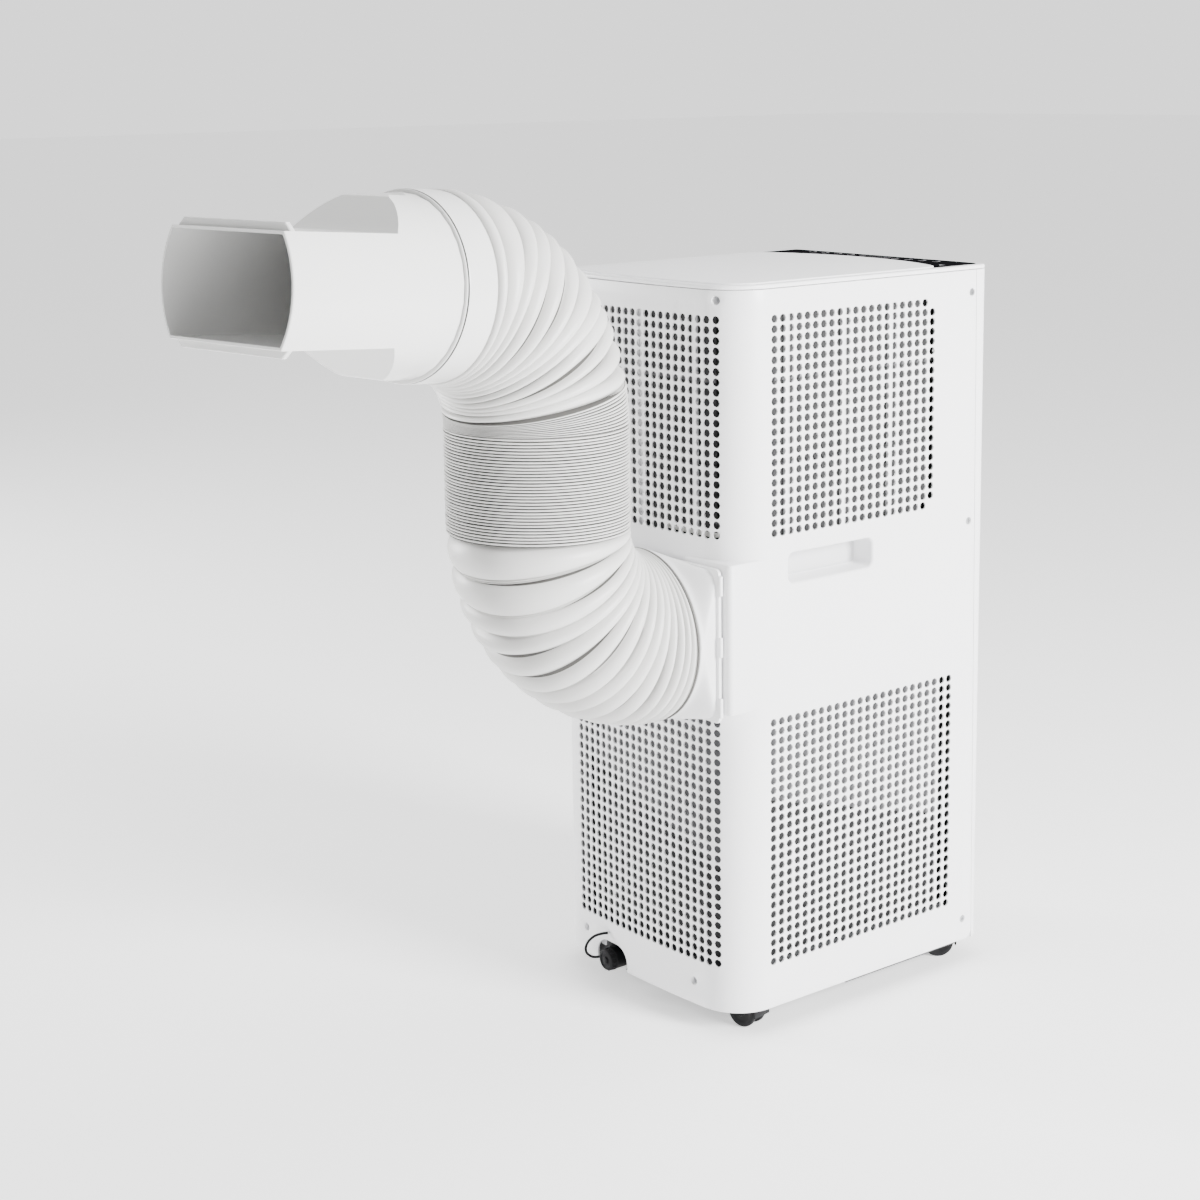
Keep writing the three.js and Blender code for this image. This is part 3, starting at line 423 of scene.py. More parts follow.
class WallPart(Part):
    """A curved wall of even thickness, with lattices of holes and openings of any outline."""

    def __init__(self, plan):
        super().__init__()
        self.plan = plan
        self.flat = []
        self.ids = {}
        self.flat_faces = []
        self.rings = []
        self.loops = []
        self.areas = []

    def at(self, s, z):
        key = (round(float(s), 3), round(float(z), 3))
        if key not in self.ids:
            self.ids[key] = len(self.flat)
            self.flat.append(key)
        return self.ids[key]

    def lattice(self, s_first, s_pitch, columns, z_first, z_pitch, rows, radius, blanks=()):
        """Round holes at s_first + i * s_pitch, z_first - j * z_pitch."""
        half_s, half_z = s_pitch / 2, z_pitch / 2
        spots = [(-1, -1), (0, -1), (1, -1), (1, 0), (1, 1), (0, 1), (-1, 1), (-1, 0)]
        for i in range(columns):
            for j in range(rows):
                s, z = s_first + i * s_pitch, z_first - j * z_pitch
                outer = [self.at(s + a * half_s, z + b * half_z) for a, b in spots]
                if half_s < 0:
                    outer.reverse()
                if (i, j) in blanks:
                    self.flat_faces.append(tuple(outer))
                    continue
                ring = []
                for corner in outer:
                    d = np.array(self.flat[corner]) - (s, z)
                    angle = round(math.atan2(d[1], d[0]) / (math.pi / 4)) * math.pi / 4
                    ring.append(self.at(s + radius * math.cos(angle), z + radius * math.sin(angle)))
                for k in range(8):
                    m = (k + 1) % 8
                    self.flat_faces.append((outer[k], outer[m], ring[m], ring[k]))
                self.rings.append(ring)
        s_ends = sorted((s_first - half_s, s_first + (columns - 0.5) * s_pitch))
        z_ends = (z_first - (rows - 0.5) * z_pitch, z_first + half_z)
        across = np.linspace(*s_ends, 2 * columns + 1)
        rising = np.linspace(*z_ends, 2 * rows + 1)
        edge = [(s, z_ends[0]) for s in across] + [(s_ends[1], z) for z in rising[1:]]
        edge += [(s, z_ends[1]) for s in across[::-1][1:]] + [(s_ends[0], z) for z in rising[::-1][1:-1]]
        self.areas.append(np.array([self.flat[self.at(*p)] for p in edge]))

    def opening(self, outline, profile=None, pocket=None):
        """An opening. profile lists (reach into the opening, depth) of the rounded rim."""
        ids = [self.at(*p) for p in outline]
        self.loops.append((ids, np.asarray(outline, float), profile, pocket))
        self.areas.append(np.array([self.flat[i] for i in ids]))

    def fill(self, outline, s_stops, z_step):
        """Triangles for everything inside the outline, outside the lattices and openings."""
        loops = [np.array([self.flat[self.at(*p)] for p in outline])] + self.areas
        points, edges = [], []
        for loop in loops:
            first = len(points)
            points.extend(loop)
            edges.extend((first + k, first + (k + 1) % len(loop)) for k in range(len(loop)))
        low, high = loops[0][:, 1].min(), loops[0][:, 1].max()
        zs = np.linspace(low, high, int((high - low) / z_step) + 1)[1:-1]
        spots = np.array([(s, z) for s in s_stops for z in zs])
        keep = inside(spots, loops[0])
        for area in self.areas:
            keep &= ~inside(spots, area)
        spots = spots[keep]
        border = np.array(points)
        far = np.array([np.min(np.hypot(*(border - p).T)) > 2.0 for p in spots])
        points.extend(spots[far])
        verts, _, faces, *_ = delaunay_2d_cdt([Vector(p) for p in points], edges, [], 0, 1e-5)
        flat = np.array([tuple(v) for v in verts])
        middles = np.array([flat[list(f)].mean(axis=0) for f in faces])
        keep = inside(middles, loops[0])
        for area in self.areas:
            keep &= ~inside(middles, area)
        for face, wanted in zip(faces, keep):
            if wanted:
                self.flat_faces.append(tuple(self.at(*flat[i]) for i in face))
        self.loops.append(([self.at(*p) for p in outline], np.asarray(outline, float), "edge", None))

    def finish(self, edge_profile):
        """Makes the mesh: both faces, the holes' walls, and the rims of openings and of the wall."""
        flat = np.array(self.flat)
        inner = flat.copy()
        for ids, outline, _, pocket in self.loops:
            if pocket:
                inner[ids] = offset(outline, WALL)
        count = len(flat)
        self.add(self.plan.point(flat[:, 0], flat[:, 1], 0))
        self.add(self.plan.point(inner[:, 0], inner[:, 1], SKIN))
        for ids in self.flat_faces:
            self.face(ids)
            self.face([i + count for i in ids[::-1]])
        for ring in self.rings:
            self.band(ring[::-1], [i + count for i in ring[::-1]])
        for ids, outline, profile, pocket in self.loops:
            sign = 1 if profile == "edge" else -1
            steps = edge_profile if profile == "edge" else profile or PLAIN_RIM
            last = ids
            for reach, depth in steps:
                moved = offset(outline, sign * reach)
                ring = self.add(self.plan.point(moved[:, 0], moved[:, 1], depth))
                self.band(last, ring)
                last = ring
            if not pocket:
                self.band(last, [i + count for i in ids])
                continue
            floor, back = pocket
            moved = offset(outline, -floor[0])
            ring = self.add(self.plan.point(moved[:, 0], moved[:, 1], floor[1]))
            # Kind 1, the pocket's walls and floor, gets the darker painted pocket shade.
            self.band(last, ring, kind=1)
            self.face(ring, 1)
            moved = offset(outline, WALL)
            ring = self.add(self.plan.point(moved[:, 0], moved[:, 1], back))
            self.band([i + count for i in ids], ring)
            self.face(ring[::-1])


def seam_y(z):
    share = (COVER_TOP - z) / (COVER_TOP - COVER_BOTTOM)
    return SEAM_TOP_Y + (SEAM_BOTTOM_Y - SEAM_TOP_Y) * share


HOLE_R = 3.8
HOLE_PITCH = 9.0                          # from row to row
SIDE_PITCH = 9.828                        # from column to column
LOW_PITCH, HIGH_PITCH = 9.189, 9.564      # the same in the rear face's two grids
SIDE_FIRST_Y, REAR_FIRST_S, TOP_ROW_Z = 110.9, 94.42, 652.0
SKIN = 1.5                                # thickness of the cover around its air holes
REACH = 0.24                              # how far the rounded border reaches beyond the outline
EDGE = [(0.10, 0.05), (0.20, 0.18), (REACH, 0.5), (REACH, SKIN)]     # (reach outwards, depth)


def rear_cover_part():
    part = WallPart(REAR)
    for side in (-1, 1):
        def along(y):
            return side * REAR.s_of_side(y)
        blanks = {(20, 0), (20, 21)}
        part.lattice(along(SIDE_FIRST_Y), side * SIDE_PITCH, 21, 651.6, HOLE_PITCH, 22, HOLE_R, blanks)
        part.lattice(along(111.9), side * SIDE_PITCH, 24, 290.2, HOLE_PITCH, 26, HOLE_R)
        grip = rounded_rect(0, GRIP["z"], GRIP["length"], GRIP["height"], GRIP["radius"], 8)
        grip[:, 0] += along(GRIP["y"])
        deep = GRIP["depth"]
        lip = [(0.25, 0.08), (0.9, 0.5), (1.6, 1.4), (2.0, 2.8), (2.3, deep - 4), (3.2, deep - 1.4)]
        part.opening(resample(grip, 6), lip, ((5.0, deep), deep + WALL))
        for z in SIDE_SCREW_ZS:
            dish = circle(3.9, 20) + (along(SIDE_SCREW_Y), z)
            part.opening(dish, [(0.2, 0.1), (0.45, 0.5)], ((0.5, 2.3), WALL + 2.3))
    part.lattice(87.14, -LOW_PITCH, 22, 292.1, HOLE_PITCH, 26, HOLE_R)
    part.lattice(REAR_FIRST_S, -HIGH_PITCH, 22, TOP_ROW_Z, HOLE_PITCH, 22, HOLE_R)
    for x, z, depth in REAR_SCREWS:
        well = circle(4.3, 20) + (REAR.s_of_x(x), z)
        part.opening(well, [(0.25, 0.1), (0.5, 0.5), (0.6, depth - 3.0)], ((0.7, depth - 2.0), depth))
    port = circle(PORT_R, 64) + (0, DUCT_Z)
    port[:, 0] = [REAR.s_of_x(DUCT_X + p) for p in port[:, 0]]
    part.opening(port)
    part.opening(circle(1.5, 12) + (REAR.s_of_x(45.2), 52.5))
    notch_s = REAR.s_of_x(NOTCH["x"])
    notch = rounded_rect(notch_s, COVER_BOTTOM, NOTCH["width"], 2 * (NOTCH["top"] - COVER_BOTTOM),
                         NOTCH["radius"], 8)
    low, high = COVER_BOTTOM + REACH, COVER_TOP - REACH
    foot_left, foot_right = notch_s - NOTCH["width"] / 2, notch_s + NOTCH["width"] / 2
    arch = [(foot_left, low), *upper_half(notch, low), (foot_right, low)]
    end_low = REAR.s_of_side(seam_y(low)) - REACH
    end_high = REAR.s_of_side(seam_y(high)) - REACH
    stops = REAR.stops(end_low)
    bottom = [s for s in stops if abs(s) < end_low - 9]
    left = [(s, low) for s in bottom if s < foot_left - 2]
    right = [(s, low) for s in bottom if s > foot_right + 2]
    corner = [(end_low - 7 + 7 * math.sin(a), low + 7 - 7 * math.cos(a))
              for a in np.linspace(0, math.pi / 2, 7)]
    rise = [(end_low + (end_high - end_low) * t, low + 7 + (high - low - 7) * t)
            for t in np.linspace(0, 1, 50)[1:]]
    top = [(s, high) for s in stops[::-1] if abs(s) < end_high - 2]
    fall = [(-s, z) for s, z in rise[::-1]]
    corner_left = [(-s, z) for s, z in corner[::-1]]
    outline = left + arch + right + corner + rise + top + fall + corner_left
    part.fill(np.array([tuple(p) for p in outline]), stops, 11.0)
    part.finish(EDGE)
    return part


def upper_half(notch, low):
    """The upper half of the notch's outline, from its left foot to its right foot."""
    upper = [tuple(p) for p in notch if p[1] > low + 1]
    return sorted(upper, key=lambda p: -p[0])[::-1]


def corner_block(part):
    """The square boss at the near rear corner, which the duct adapter clips to."""
    side, back = -HALF_W + 0.12, HALF_D - 0.1
    outer = [(side, 112.0), (side, back - 5)]
    outer += [(side + 5 - 5 * math.cos(a), back - 5 + 5 * math.sin(a))
              for a in np.linspace(0.2, math.pi / 2, 7)]
    outer += [(-70.0, HALF_D - 1.6), (-70.0, 158.0), (-112.0, 152.0), (-124.0, 112.0)]
    plan = np.array(outer[::-1])
    rings = []
    for reach, z in ((-2.2, BOSS["bottom"]), (-0.8, BOSS["bottom"] + 0.7), (0, BOSS["bottom"] + 2.2),
                     (0, BOSS["top"] - 2.2), (-0.8, BOSS["top"] - 0.7), (-2.2, BOSS["top"])):
        rings.append(lifted(offset(plan, reach), z))
    part.loft(rings)


def rear_cover():
    part = rear_cover_part()
    corner_block(part)
    piece = build("rear_cover_shell", part, [WHITE, POCKET_SHADE])
    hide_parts("rear_cover")
    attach(piece, "housing")


def front_cover():
    part = WallPart(FRONT)
    outlet = rounded_rect(0, OUTLET["z"], OUTLET["width"], OUTLET["height"], OUTLET["radius"], 6)
    part.opening(resample(outlet, 8), [(0.25, 0.1), (0.8, 0.6), (1.0, 1.4)])
    low, high = COVER_BOTTOM + REACH, COVER_TOP - REACH
    ends = [FRONT.s_of_side(seam_y(z)) - REACH - 0.5 for z in (low, high)]
    stops = FRONT.stops(ends[0])
    bottom = [(s, low) for s in stops if abs(s) < ends[0] - 1]
    rise = [(ends[0] + (ends[1] - ends[0]) * t, low + (high - low) * t) for t in np.linspace(0, 1, 50)]
    top = [(s, high) for s in stops[::-1] if abs(s) < ends[1] - 1]
    fall = [(-s, z) for s, z in rise[::-1]]
    part.fill(np.array(bottom + rise + top + fall), stops, 14.0)
    part.finish(EDGE)
    piece = build("front_shell", part, [WHITE])
    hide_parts("front_cover")
    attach(piece, "housing")


def plan_outline(inset):
    """The covers' outline from above, counterclockwise, at a depth inside the wall."""
    rear = REAR.stops(REAR.s_of_side(SEAM_TOP_Y))
    front = FRONT.stops(FRONT.s_of_side(SEAM_TOP_Y - 1))
    back = REAR.point(rear[::-1], 0, inset)[:, :2]
    return np.vstack([back, FRONT.point(front, 0, inset)[:, :2]])


def fascia_edge(count, reach=0.0):
    """The shallow arc between the black strip and the raised panel, from -X to +X."""
    w, side_y, mid_y = HALF_W - 8, -99.0, -127.8
    t = np.linspace(0, 1, count)
    left = np.outer((1 - t) ** 2, (-w, side_y)) + np.outer(2 * t * (1 - t), (-w * 0.55, mid_y)) \
        + np.outer(t ** 2, (0, mid_y))
    right = left[::-1] * (-1, 1)
    return np.vstack([left, right[1:]]) + (0, reach)


def round_corners(points, radius):
    """Rounds the corners of an outline that turn by more than 40 degrees."""
    result = []
    count = len(points)
    for i in range(count):
        a, b, c = points[i - 1], points[i], points[(i + 1) % count]
        u, v = (a - b) / np.hypot(*(a - b)), (c - b) / np.hypot(*(c - b))
        if np.dot(u, v) < -0.77:
            result.append(b)
            continue
        reach = min(radius, np.hypot(*(a - b)) * 0.45, np.hypot(*(c - b)) * 0.45)
        p, q = b + u * reach, b + v * reach
        result.extend((1 - t) ** 2 * p + 2 * t * (1 - t) * b + t * t * q for t in np.linspace(0, 1, 6))
    return np.array(result)


def pillow(outline, base, top, soft, bottom_reach=0.0):
    """Rings of a low raised form with a soft upper edge."""
    rings = [lifted(offset(outline, bottom_reach), base), lifted(offset(outline, bottom_reach), top - soft)]
    for k in range(1, 5):
        a = math.radians(22.5 * k)
        rings.append(lifted(offset(outline, -soft * (1 - math.cos(a))), top - soft + soft * math.sin(a)))
    return rings


def top_cover():
    rim = plan_outline(0)
    part = Part()
    seat = COVER_TOP + 0.5
    levels = [(3.4, seat), (0.7, seat), (0.1, seat + 0.6), (0, BODY_TOP - 1.6), (0.25, BODY_TOP - 0.7),
              (0.8, BODY_TOP - 0.15), (1.7, BODY_TOP), (6.9, BODY_TOP), (7.4, BODY_TOP - 0.3),
              (7.7, BODY_TOP - 1.0)]
    rings = [lifted(offset(rim, -inset), z) for inset, z in levels]
    part.loft(rings)
    panel = panel_outline()
    part.loft(pillow(panel, BODY_TOP - 1.0, PANEL_TOP, 1.1))
    piece = build("top_shell", part, [TOP_WHITE], sharp=50)
    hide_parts("top_cover")
    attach(piece, "housing")


def panel_outline():
    """The raised field behind the black strip."""
    rear = plan_outline(8.4)
    behind = rear[rear[:, 1] > -97]
    order = np.argsort(-np.arctan2(behind[:, 0], behind[:, 1] + 96.9))
    edge = fascia_edge(22, 0.6)
    return round_corners(np.vstack([edge[1:-1], behind[order]]), 3.0)


def control_strip():
    front = plan_outline(8.4)
    ahead = front[front[:, 1] < -101]
    ahead = ahead[np.argsort(ahead[:, 0], kind="stable")]
    left = ahead[ahead[:, 0] < -HALF_W + 20]
    right = ahead[ahead[:, 0] > HALF_W - 20]
    middle = ahead[np.abs(ahead[:, 0]) <= HALF_W - 20]
    left = left[np.argsort(-left[:, 1])]
    right = right[np.argsort(right[:, 1])]
    outline = np.vstack([left, middle, right, fascia_edge(22, -0.5)[::-1][1:-1]])
    part = Part()
    part.loft(pillow(round_corners(outline, 5.0), COVER_TOP + 1.0, BODY_TOP + 0.6, 0.8))
    piece = build("control_strip", part, [GLOSS], sharp=50)
    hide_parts("control_fascia")
    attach(piece, "housing")
    marks = Part()
    low, high = BODY_TOP + 0.6 - 0.05, BODY_TOP + 0.6 + 0.06
    y = -143.0
    for x in (-84, -66, -48, -30, 30, 48, 66, 84):
        dot = circle(1.6, 16) + (x, y)
        marks.loft([lifted(dot, low), lifted(dot, high)])
        bar = rounded_rect(x, y + 5.4, 7.0, 0.8, 0.3, 2)
        marks.loft([lifted(bar, low), lifted(bar, high)])
    display = resample(rounded_rect(0, y, 34, 11, 2, 4), 4)
    within = offset(display, -0.4)
    marks.hollow([lifted(display, low), lifted(display, high), lifted(within, high), lifted(within, low)])
    triangle = np.array([(-HALF_W + 17, -112.0), (-HALF_W + 21, -116.0), (-HALF_W + 14.5, -117.0)])
    marks.loft([lifted(triangle, low), lifted(triangle, high)])
    piece = build("control_marks", marks, [MARK])
    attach(piece, "housing")


# ---------------------------------------------------------------- behind the air holes
def slab(part, plan, s0, s1, z0, z1, depth, thick, kind=0, slope=0.0):
    """A bent plate that follows the cover at a depth. slope raises its foot from s0 on."""
    low, high = min(s0, s1), max(s0, s1)
    own = [s for s in plan.stops(plan.s_of_side(seam_y(COVER_BOTTOM))) if low < s < high]
    back = depth + thick
    rings = []
    for s in (low, *own, high):
        foot = z0 + slope * (s - s0)
        corners = ((foot, depth), (z1, depth), (z1, back), (foot, back))
        rings.append(np.vstack([plan.point(s, z, d) for z, d in corners]))
    part.loft(rings, kind=kind)


def filter_screen(name, s0, s1, ribs):
    """A dark screen behind one of the upper grids, with white ribs and two grey rails."""
    part = Part()
    low, high = 458, 657
    slab(part, REAR, s0, s1, low, high, 7.5, 0.8, kind=1)
    for s in ribs:
        slab(part, REAR, s - 2.6, s + 2.6, low, high, 4.6, 2.6)
    for row in (6.0, 14.5):
        z = TOP_ROW_Z - HOLE_PITCH * row
        slab(part, REAR, s0, s1, z - 1.5, z + 1.5, 5.6, 1.7, kind=2)
    piece = build(name + "_screen", part, [WHITE, DARK, SHADOW_GREY])
    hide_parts(name)
    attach(piece, "housing")


def behind_grids():
    for name, side in (("air_filter_left", -1), ("air_filter_right", 1)):
        s0, s1 = sorted(side * REAR.s_of_side(y) for y in (119.0, -94.0))
        ribs = [side * REAR.s_of_side(SIDE_FIRST_Y - SIDE_PITCH * k) for k in (2, 9, 15)]
        filter_screen(name, s0, s1, ribs)
    filter_screen("air_filter_rear", -104.0, 104.0, [REAR_FIRST_S - HIGH_PITCH * k for k in (3, 10.5, 18)])
    part = Part()
    end = REAR.s_of_side(-130.0)
    foot, top = 60, 298
    # Painted shade: a dark sheet behind the lower grids stands in for the shaded interior.
    slab(part, REAR, -end, end, foot, top, 16.0, 0.8, kind=1)
    # Painted light: grey sheets in front of it for the lit upper interior, their lower edge sloping along the
    # line where the light stops.
    for side in (-1, 1):
        near, far = REAR.s_of_side(112.0), REAR.s_of_side(-118.0)
        s0, s1 = sorted((side * near, side * far))
        foot, slope = (215.0, -0.28) if side > 0 else (215.0 - 0.28 * (s1 - s0), 0.28)
        slab(part, REAR, s0, s1, foot, top, 14.0, 1.2, slope=slope)
    slab(part, REAR, -108, 96, 150, top, 14.0, 1.2, slope=0.35)
    for side in (-1, 1):
        middle, front = side * REAR.s_of_side(20.0), side * REAR.s_of_side(-128.0)
        slab(part, REAR, middle, front, 19.6, 20.8, 0.6, 2.0, kind=1)
    piece = build("painted_shade_backing", part, [SHADOW_GREY, DARK])
    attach(piece, "housing")


# ---------------------------------------------------------------- screws
def screw_piece(name, node, centre, normal, radius, material):
    """A countersunk screw head with a cross recess. normal is the way the head faces."""
    normal = np.array(normal, float)
    helper = np.array([0, 0, 1.0])
    across = np.cross(helper, normal)
    basis = np.stack([across, helper, normal])

    def at(u, v, w):
        return np.array(centre) + np.array([u, v, w]) @ basis

    arm, half = radius * 0.62, radius * 0.15
    cross = [(half, -arm), (half, -half), (arm, -half), (arm, half), (half, half), (half, arm),
             (-half, arm), (-half, half), (-arm, half), (-arm, -half), (-half, -half), (-half, -arm)]
    cross = resample(np.array(cross), radius * 0.4)
    angles = np.arctan2(cross[:, 1], cross[:, 0])
    round_head = np.c_[np.cos(angles), np.sin(angles)] * radius
    part = Part()
    levels = ((round_head * 0.45, -2.0), (round_head, -0.35), (round_head * 0.94, 0.0), (cross, 0.05),
              (cross * 0.8, -0.9))
    part.loft([[at(u, v, w) for u, v in ring] for ring, w in levels])
    piece = build(name, part, [material], sharp=30)
    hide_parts(node)
    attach(piece, "housing")


def screws():
    number = 1
    for side in (-1, 1):
        for z in SIDE_SCREW_ZS:
            screw_piece(f"side_screw_head_{number}", f"side_screw_{number}",
                        (side * (HALF_W - 0.35), SIDE_SCREW_Y, z), (side, 0, 0), 3.2, STEEL)
            number += 1
    for k, (x, z, depth) in enumerate(REAR_SCREWS):
        s = REAR.s_of_x(x)
        middle = REAR.point(s, z, 0)
        out = middle - REAR.point(s, z, 1)
        head = middle - out * (depth - 5.0)
        screw_piece(f"rear_screw_head_{k + 1}", f"rear_screw_{k + 1}", head, out, 3.3, STEEL)


# ---------------------------------------------------------------- duct
def hood():
    """The adapter: a clipped plate, and a smooth form from its rectangle to the round hose."""
    part = Part()
    count = 12
    base = rounded_rect(DUCT_X, DUCT_Z, 164.8, 139.0, 5.0, count)
    plate_y = HALF_D + 0.6
    rings = []
    for reach, y in ((-1.0, 0), (0, 0.8), (0, 3.0), (-0.4, 3.7), (-1.3, 4.0)):
        rings.append(upright(offset(base, reach), plate_y + y))
    angle = np.array([math.radians(q * 90 - 90 + 90 * k / count) for q in range(4) for k in range(count + 1)])
    way = np.c_[np.cos(angle), np.sin(angle)]
    top = way * 77.6 + (DUCT_X, DUCT_Z)
    foot = rounded_rect(DUCT_X, DUCT_Z, 158.0, 136.0, 16.0, count)
    for t in np.linspace(0, 1, 10):
        ease = t * t * (3 - 2 * t)
        rings.append(upright(foot + (top - foot) * ease, plate_y + 4.0 + (JOINT_Y - 1.6 - plate_y - 4.0) * t))
    for reach, y in ((-0.4, JOINT_Y - 0.9), (-1.4, JOINT_Y - 0.4)):
        rings.append(upright(offset(top, reach), y))
    bore = way * PORT_R + (DUCT_X, DUCT_Z)
    part.hollow(rings + [upright(bore, JOINT_Y - 0.4), upright(bore, plate_y)])
    for dz in (-55, 0, 55):
        clip = rounded_rect(0, DUCT_Z + dz, 5.0, 18.0, 1.0, 3) + (DUCT_X - 82.4, 0)
        rim = ((-0.8, 0.5), (0, 1.3), (0, 3.4), (-0.8, 4.2))
        part.loft([upright(offset(clip, reach), plate_y + y) for reach, y in rim])
    piece = build("duct_hood", part, [WHITE], sharp=40)
    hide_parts("duct_adapter")
    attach(piece, "housing")


AROUND = 128          # points in a ring of the hose
ANGLE = np.arange(AROUND) * 2 * math.pi / AROUND

# One fold along the hose: (place in the fold, depth as a share of the whole fold).
PLEAT = [(0.0, 1.0), (0.018, 0.66), (0.036, 0.60), (0.055, 0.84), (0.078, 0.52), (0.10, 0.46), (0.122, 0.66),
         (0.15, 0.40), (0.22, 0.22), (0.33, 0.07), (0.47, 0.0), (0.60, 0.04), (0.73, 0.17), (0.84, 0.38),
         (0.92, 0.62), (0.97, 0.86)]
RING = [(0.0, 1.0), (0.2, 0.35), (0.38, 0.0), (0.64, 0.0), (0.82, 0.35)]
FINE_FOLD = 4.0       # a fold shorter than this, in mm along the middle line, is a pressed ring
FINE_FOLDS = 10       # how many of them the upper bend starts with


def shares(weights):
    """Ends of the folds along a bend, from 0 to 1."""
    ends = np.cumsum([0.0] + list(weights))
    return ends / ends[-1]


def bend_rings(radius, sweep, ends, depth, place, uneven):
    """Outer and inner rings of a bent, pleated stretch, with the creases marked as kind 1 for the painted
    crease shade.

    ends are shares of the bend, from shares(). uneven tilts the folds and varies their depth."""
    outer, inner, kinds = [], [], []
    for k, (low, high) in enumerate(zip(ends, ends[1:])):
        fine = (high - low) * sweep * radius < FINE_FOLD
        for t, share in RING if fine else PLEAT:
            phase = low + (high - low) * t
            tilt = 0.30 * np.sin(ANGLE + 0.7) + 0.14 * np.sin(2 * ANGLE + k * 1.3)
            room = min(1, 5 * phase, 5 * (1 - phase))
            if uneven > 1 and phase < ends[FINE_FOLDS]:
                room *= 0.15
            shifted = np.clip(phase + tilt * uneven / 15 * room, 0, 1)
            swell = 1 + 0.20 * np.sin(1.7 * k + ANGLE) * uneven
            gap = (radius - DUCT_R * np.cos(ANGLE)) * sweep * (high - low)
            fold = np.minimum(depth * swell, 0.6 * gap + 1.0)
            if fine:
                fold = np.full(AROUND, 2.7 + 0.3 * math.sin(1.9 * k))
            radii = DUCT_R - 0.4 - share * fold
            outer.append(place(shifted * sweep, radii, ANGLE))
            inner.append(place(shifted * sweep, radii - 0.9, ANGLE))
            # Kind 1 is painted shade: the faces at the bottom of each fold get the dark crease-shade
            # material.
            kinds.append(1 if t == 0 or t > (0.8 if fine else 0.96) else 0)
    closing = [place(np.full(AROUND, sweep), np.full(AROUND, DUCT_R - d), ANGLE) for d in (1.4, 2.3)]
    return outer + [closing[0]], inner + [closing[1]], kinds


def arc_place(radius, origin, start, toward, across):
    """Maps an angle along a bend to its ring, where angle and radii vary around the ring."""
    origin, start, toward, across = (np.array(v, float) for v in (origin, start, toward, across))

    def place(along, radii, angle):
        sine, cosine = np.sin(along)[:, None], np.cos(along)[:, None]
        centre = origin + radius * (start * sine + toward * (1 - cosine))
        inward = toward * cosine - start * sine
        return centre + inward * (np.cos(angle) * radii)[:, None] + across * (np.sin(angle) * radii)[:, None]
    return place


YAW = turn("Z", NOZZLE_YAW)
UPPER_FOOT = np.array([DUCT_X, BEND_START_Y + LOWER_R, MIDDLE_Z[1]])


def lower_bend():
    part = Part()
    place = arc_place(LOWER_R, (DUCT_X, BEND_START_Y, DUCT_Z), (0, 1, 0), (0, 0, 1), (1, 0, 0))
    ends = shares([0.5, 0.6, 0.7, 0.8, 0.9, 1, 1, 1.1, 1, 1.1, 1, 1.1, 1.4, 1.5])
    outer, inner, kinds = bend_rings(LOWER_R, math.pi / 2, ends, 8.5, place, 1.0)
    part.hollow(outer + inner[::-1], kinds)
    piece = build("hose_pleats_lower", part, [HOSE, CREASE_SHADE], sharp=60)
    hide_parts("hose_lower_bend")
    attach(piece, "hose_lower")
    cuff = Part()
    profile = [(74.0, JOINT_Y), (76.6, JOINT_Y), (77.2, JOINT_Y + 0.5), (77.2, JOINT_Y + 1.2),
               (79.0, JOINT_Y + 1.6), (78.9, JOINT_Y + 3.0), (77.6, JOINT_Y + 3.3), (74.0, JOINT_Y + 3.3)]
    # Painted shadow: most of the cuff gets the dark crease-shade material, a dark shadow line between the
    # hood and the first fold.
    cuff.hollow(lathe_y(profile, DUCT_X, DUCT_Z, AROUND), [1] * 6)
    piece = build("hose_cuff_shadow_line", cuff, [HOSE, CREASE_SHADE], sharp=50)
    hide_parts("hose_collar")
    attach(piece, "hose_lower")


def middle():
    """The closed-up stretch: folds pressed together into fine rings."""
    part = Part()
    rings_count = 34
    foot = UPPER_FOOT[:2]
    outer, inner = [], []
    height = (MIDDLE_Z[1] - MIDDLE_Z[0]) / rings_count
    for k in range(rings_count):
        wide = 79.3 - 0.25 * math.sin(k * 2.3) - 0.15 * math.sin(k * 0.9 + 1)
        deep = 2.7 + (0.9 if k in (6, 13, 21, 27) else 0) + 0.25 * math.sin(k * 1.7)
        lean = 0.45 * np.sin(ANGLE + k * 0.05)
        for t, drop in RING:
            z = MIDDLE_Z[0] + (k + t) * height + lean
            for stack, skin in ((outer, 0), (inner, 0.8)):
                stack.append(np.c_[circle(wide - deep * drop - skin, AROUND) + foot, z])
    for stack, r in ((outer, 79.1), (inner, 78.2)):
        stack.append(lifted(circle(r, AROUND) + foot, MIDDLE_Z[1]))
    # Painted shade: the bands at each ring's crease get the dark crease-shade material.
    part.hollow(outer + inner[::-1], [1, 0, 0, 0, 1] * rings_count)
    piece = build("hose_rings", part, [HOSE, CREASE_SHADE], sharp=60)
    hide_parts("hose_middle")
    body((*foot, MIDDLE_Z[0]))
    body((*foot, MIDDLE_Z[1]))
    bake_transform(piece)


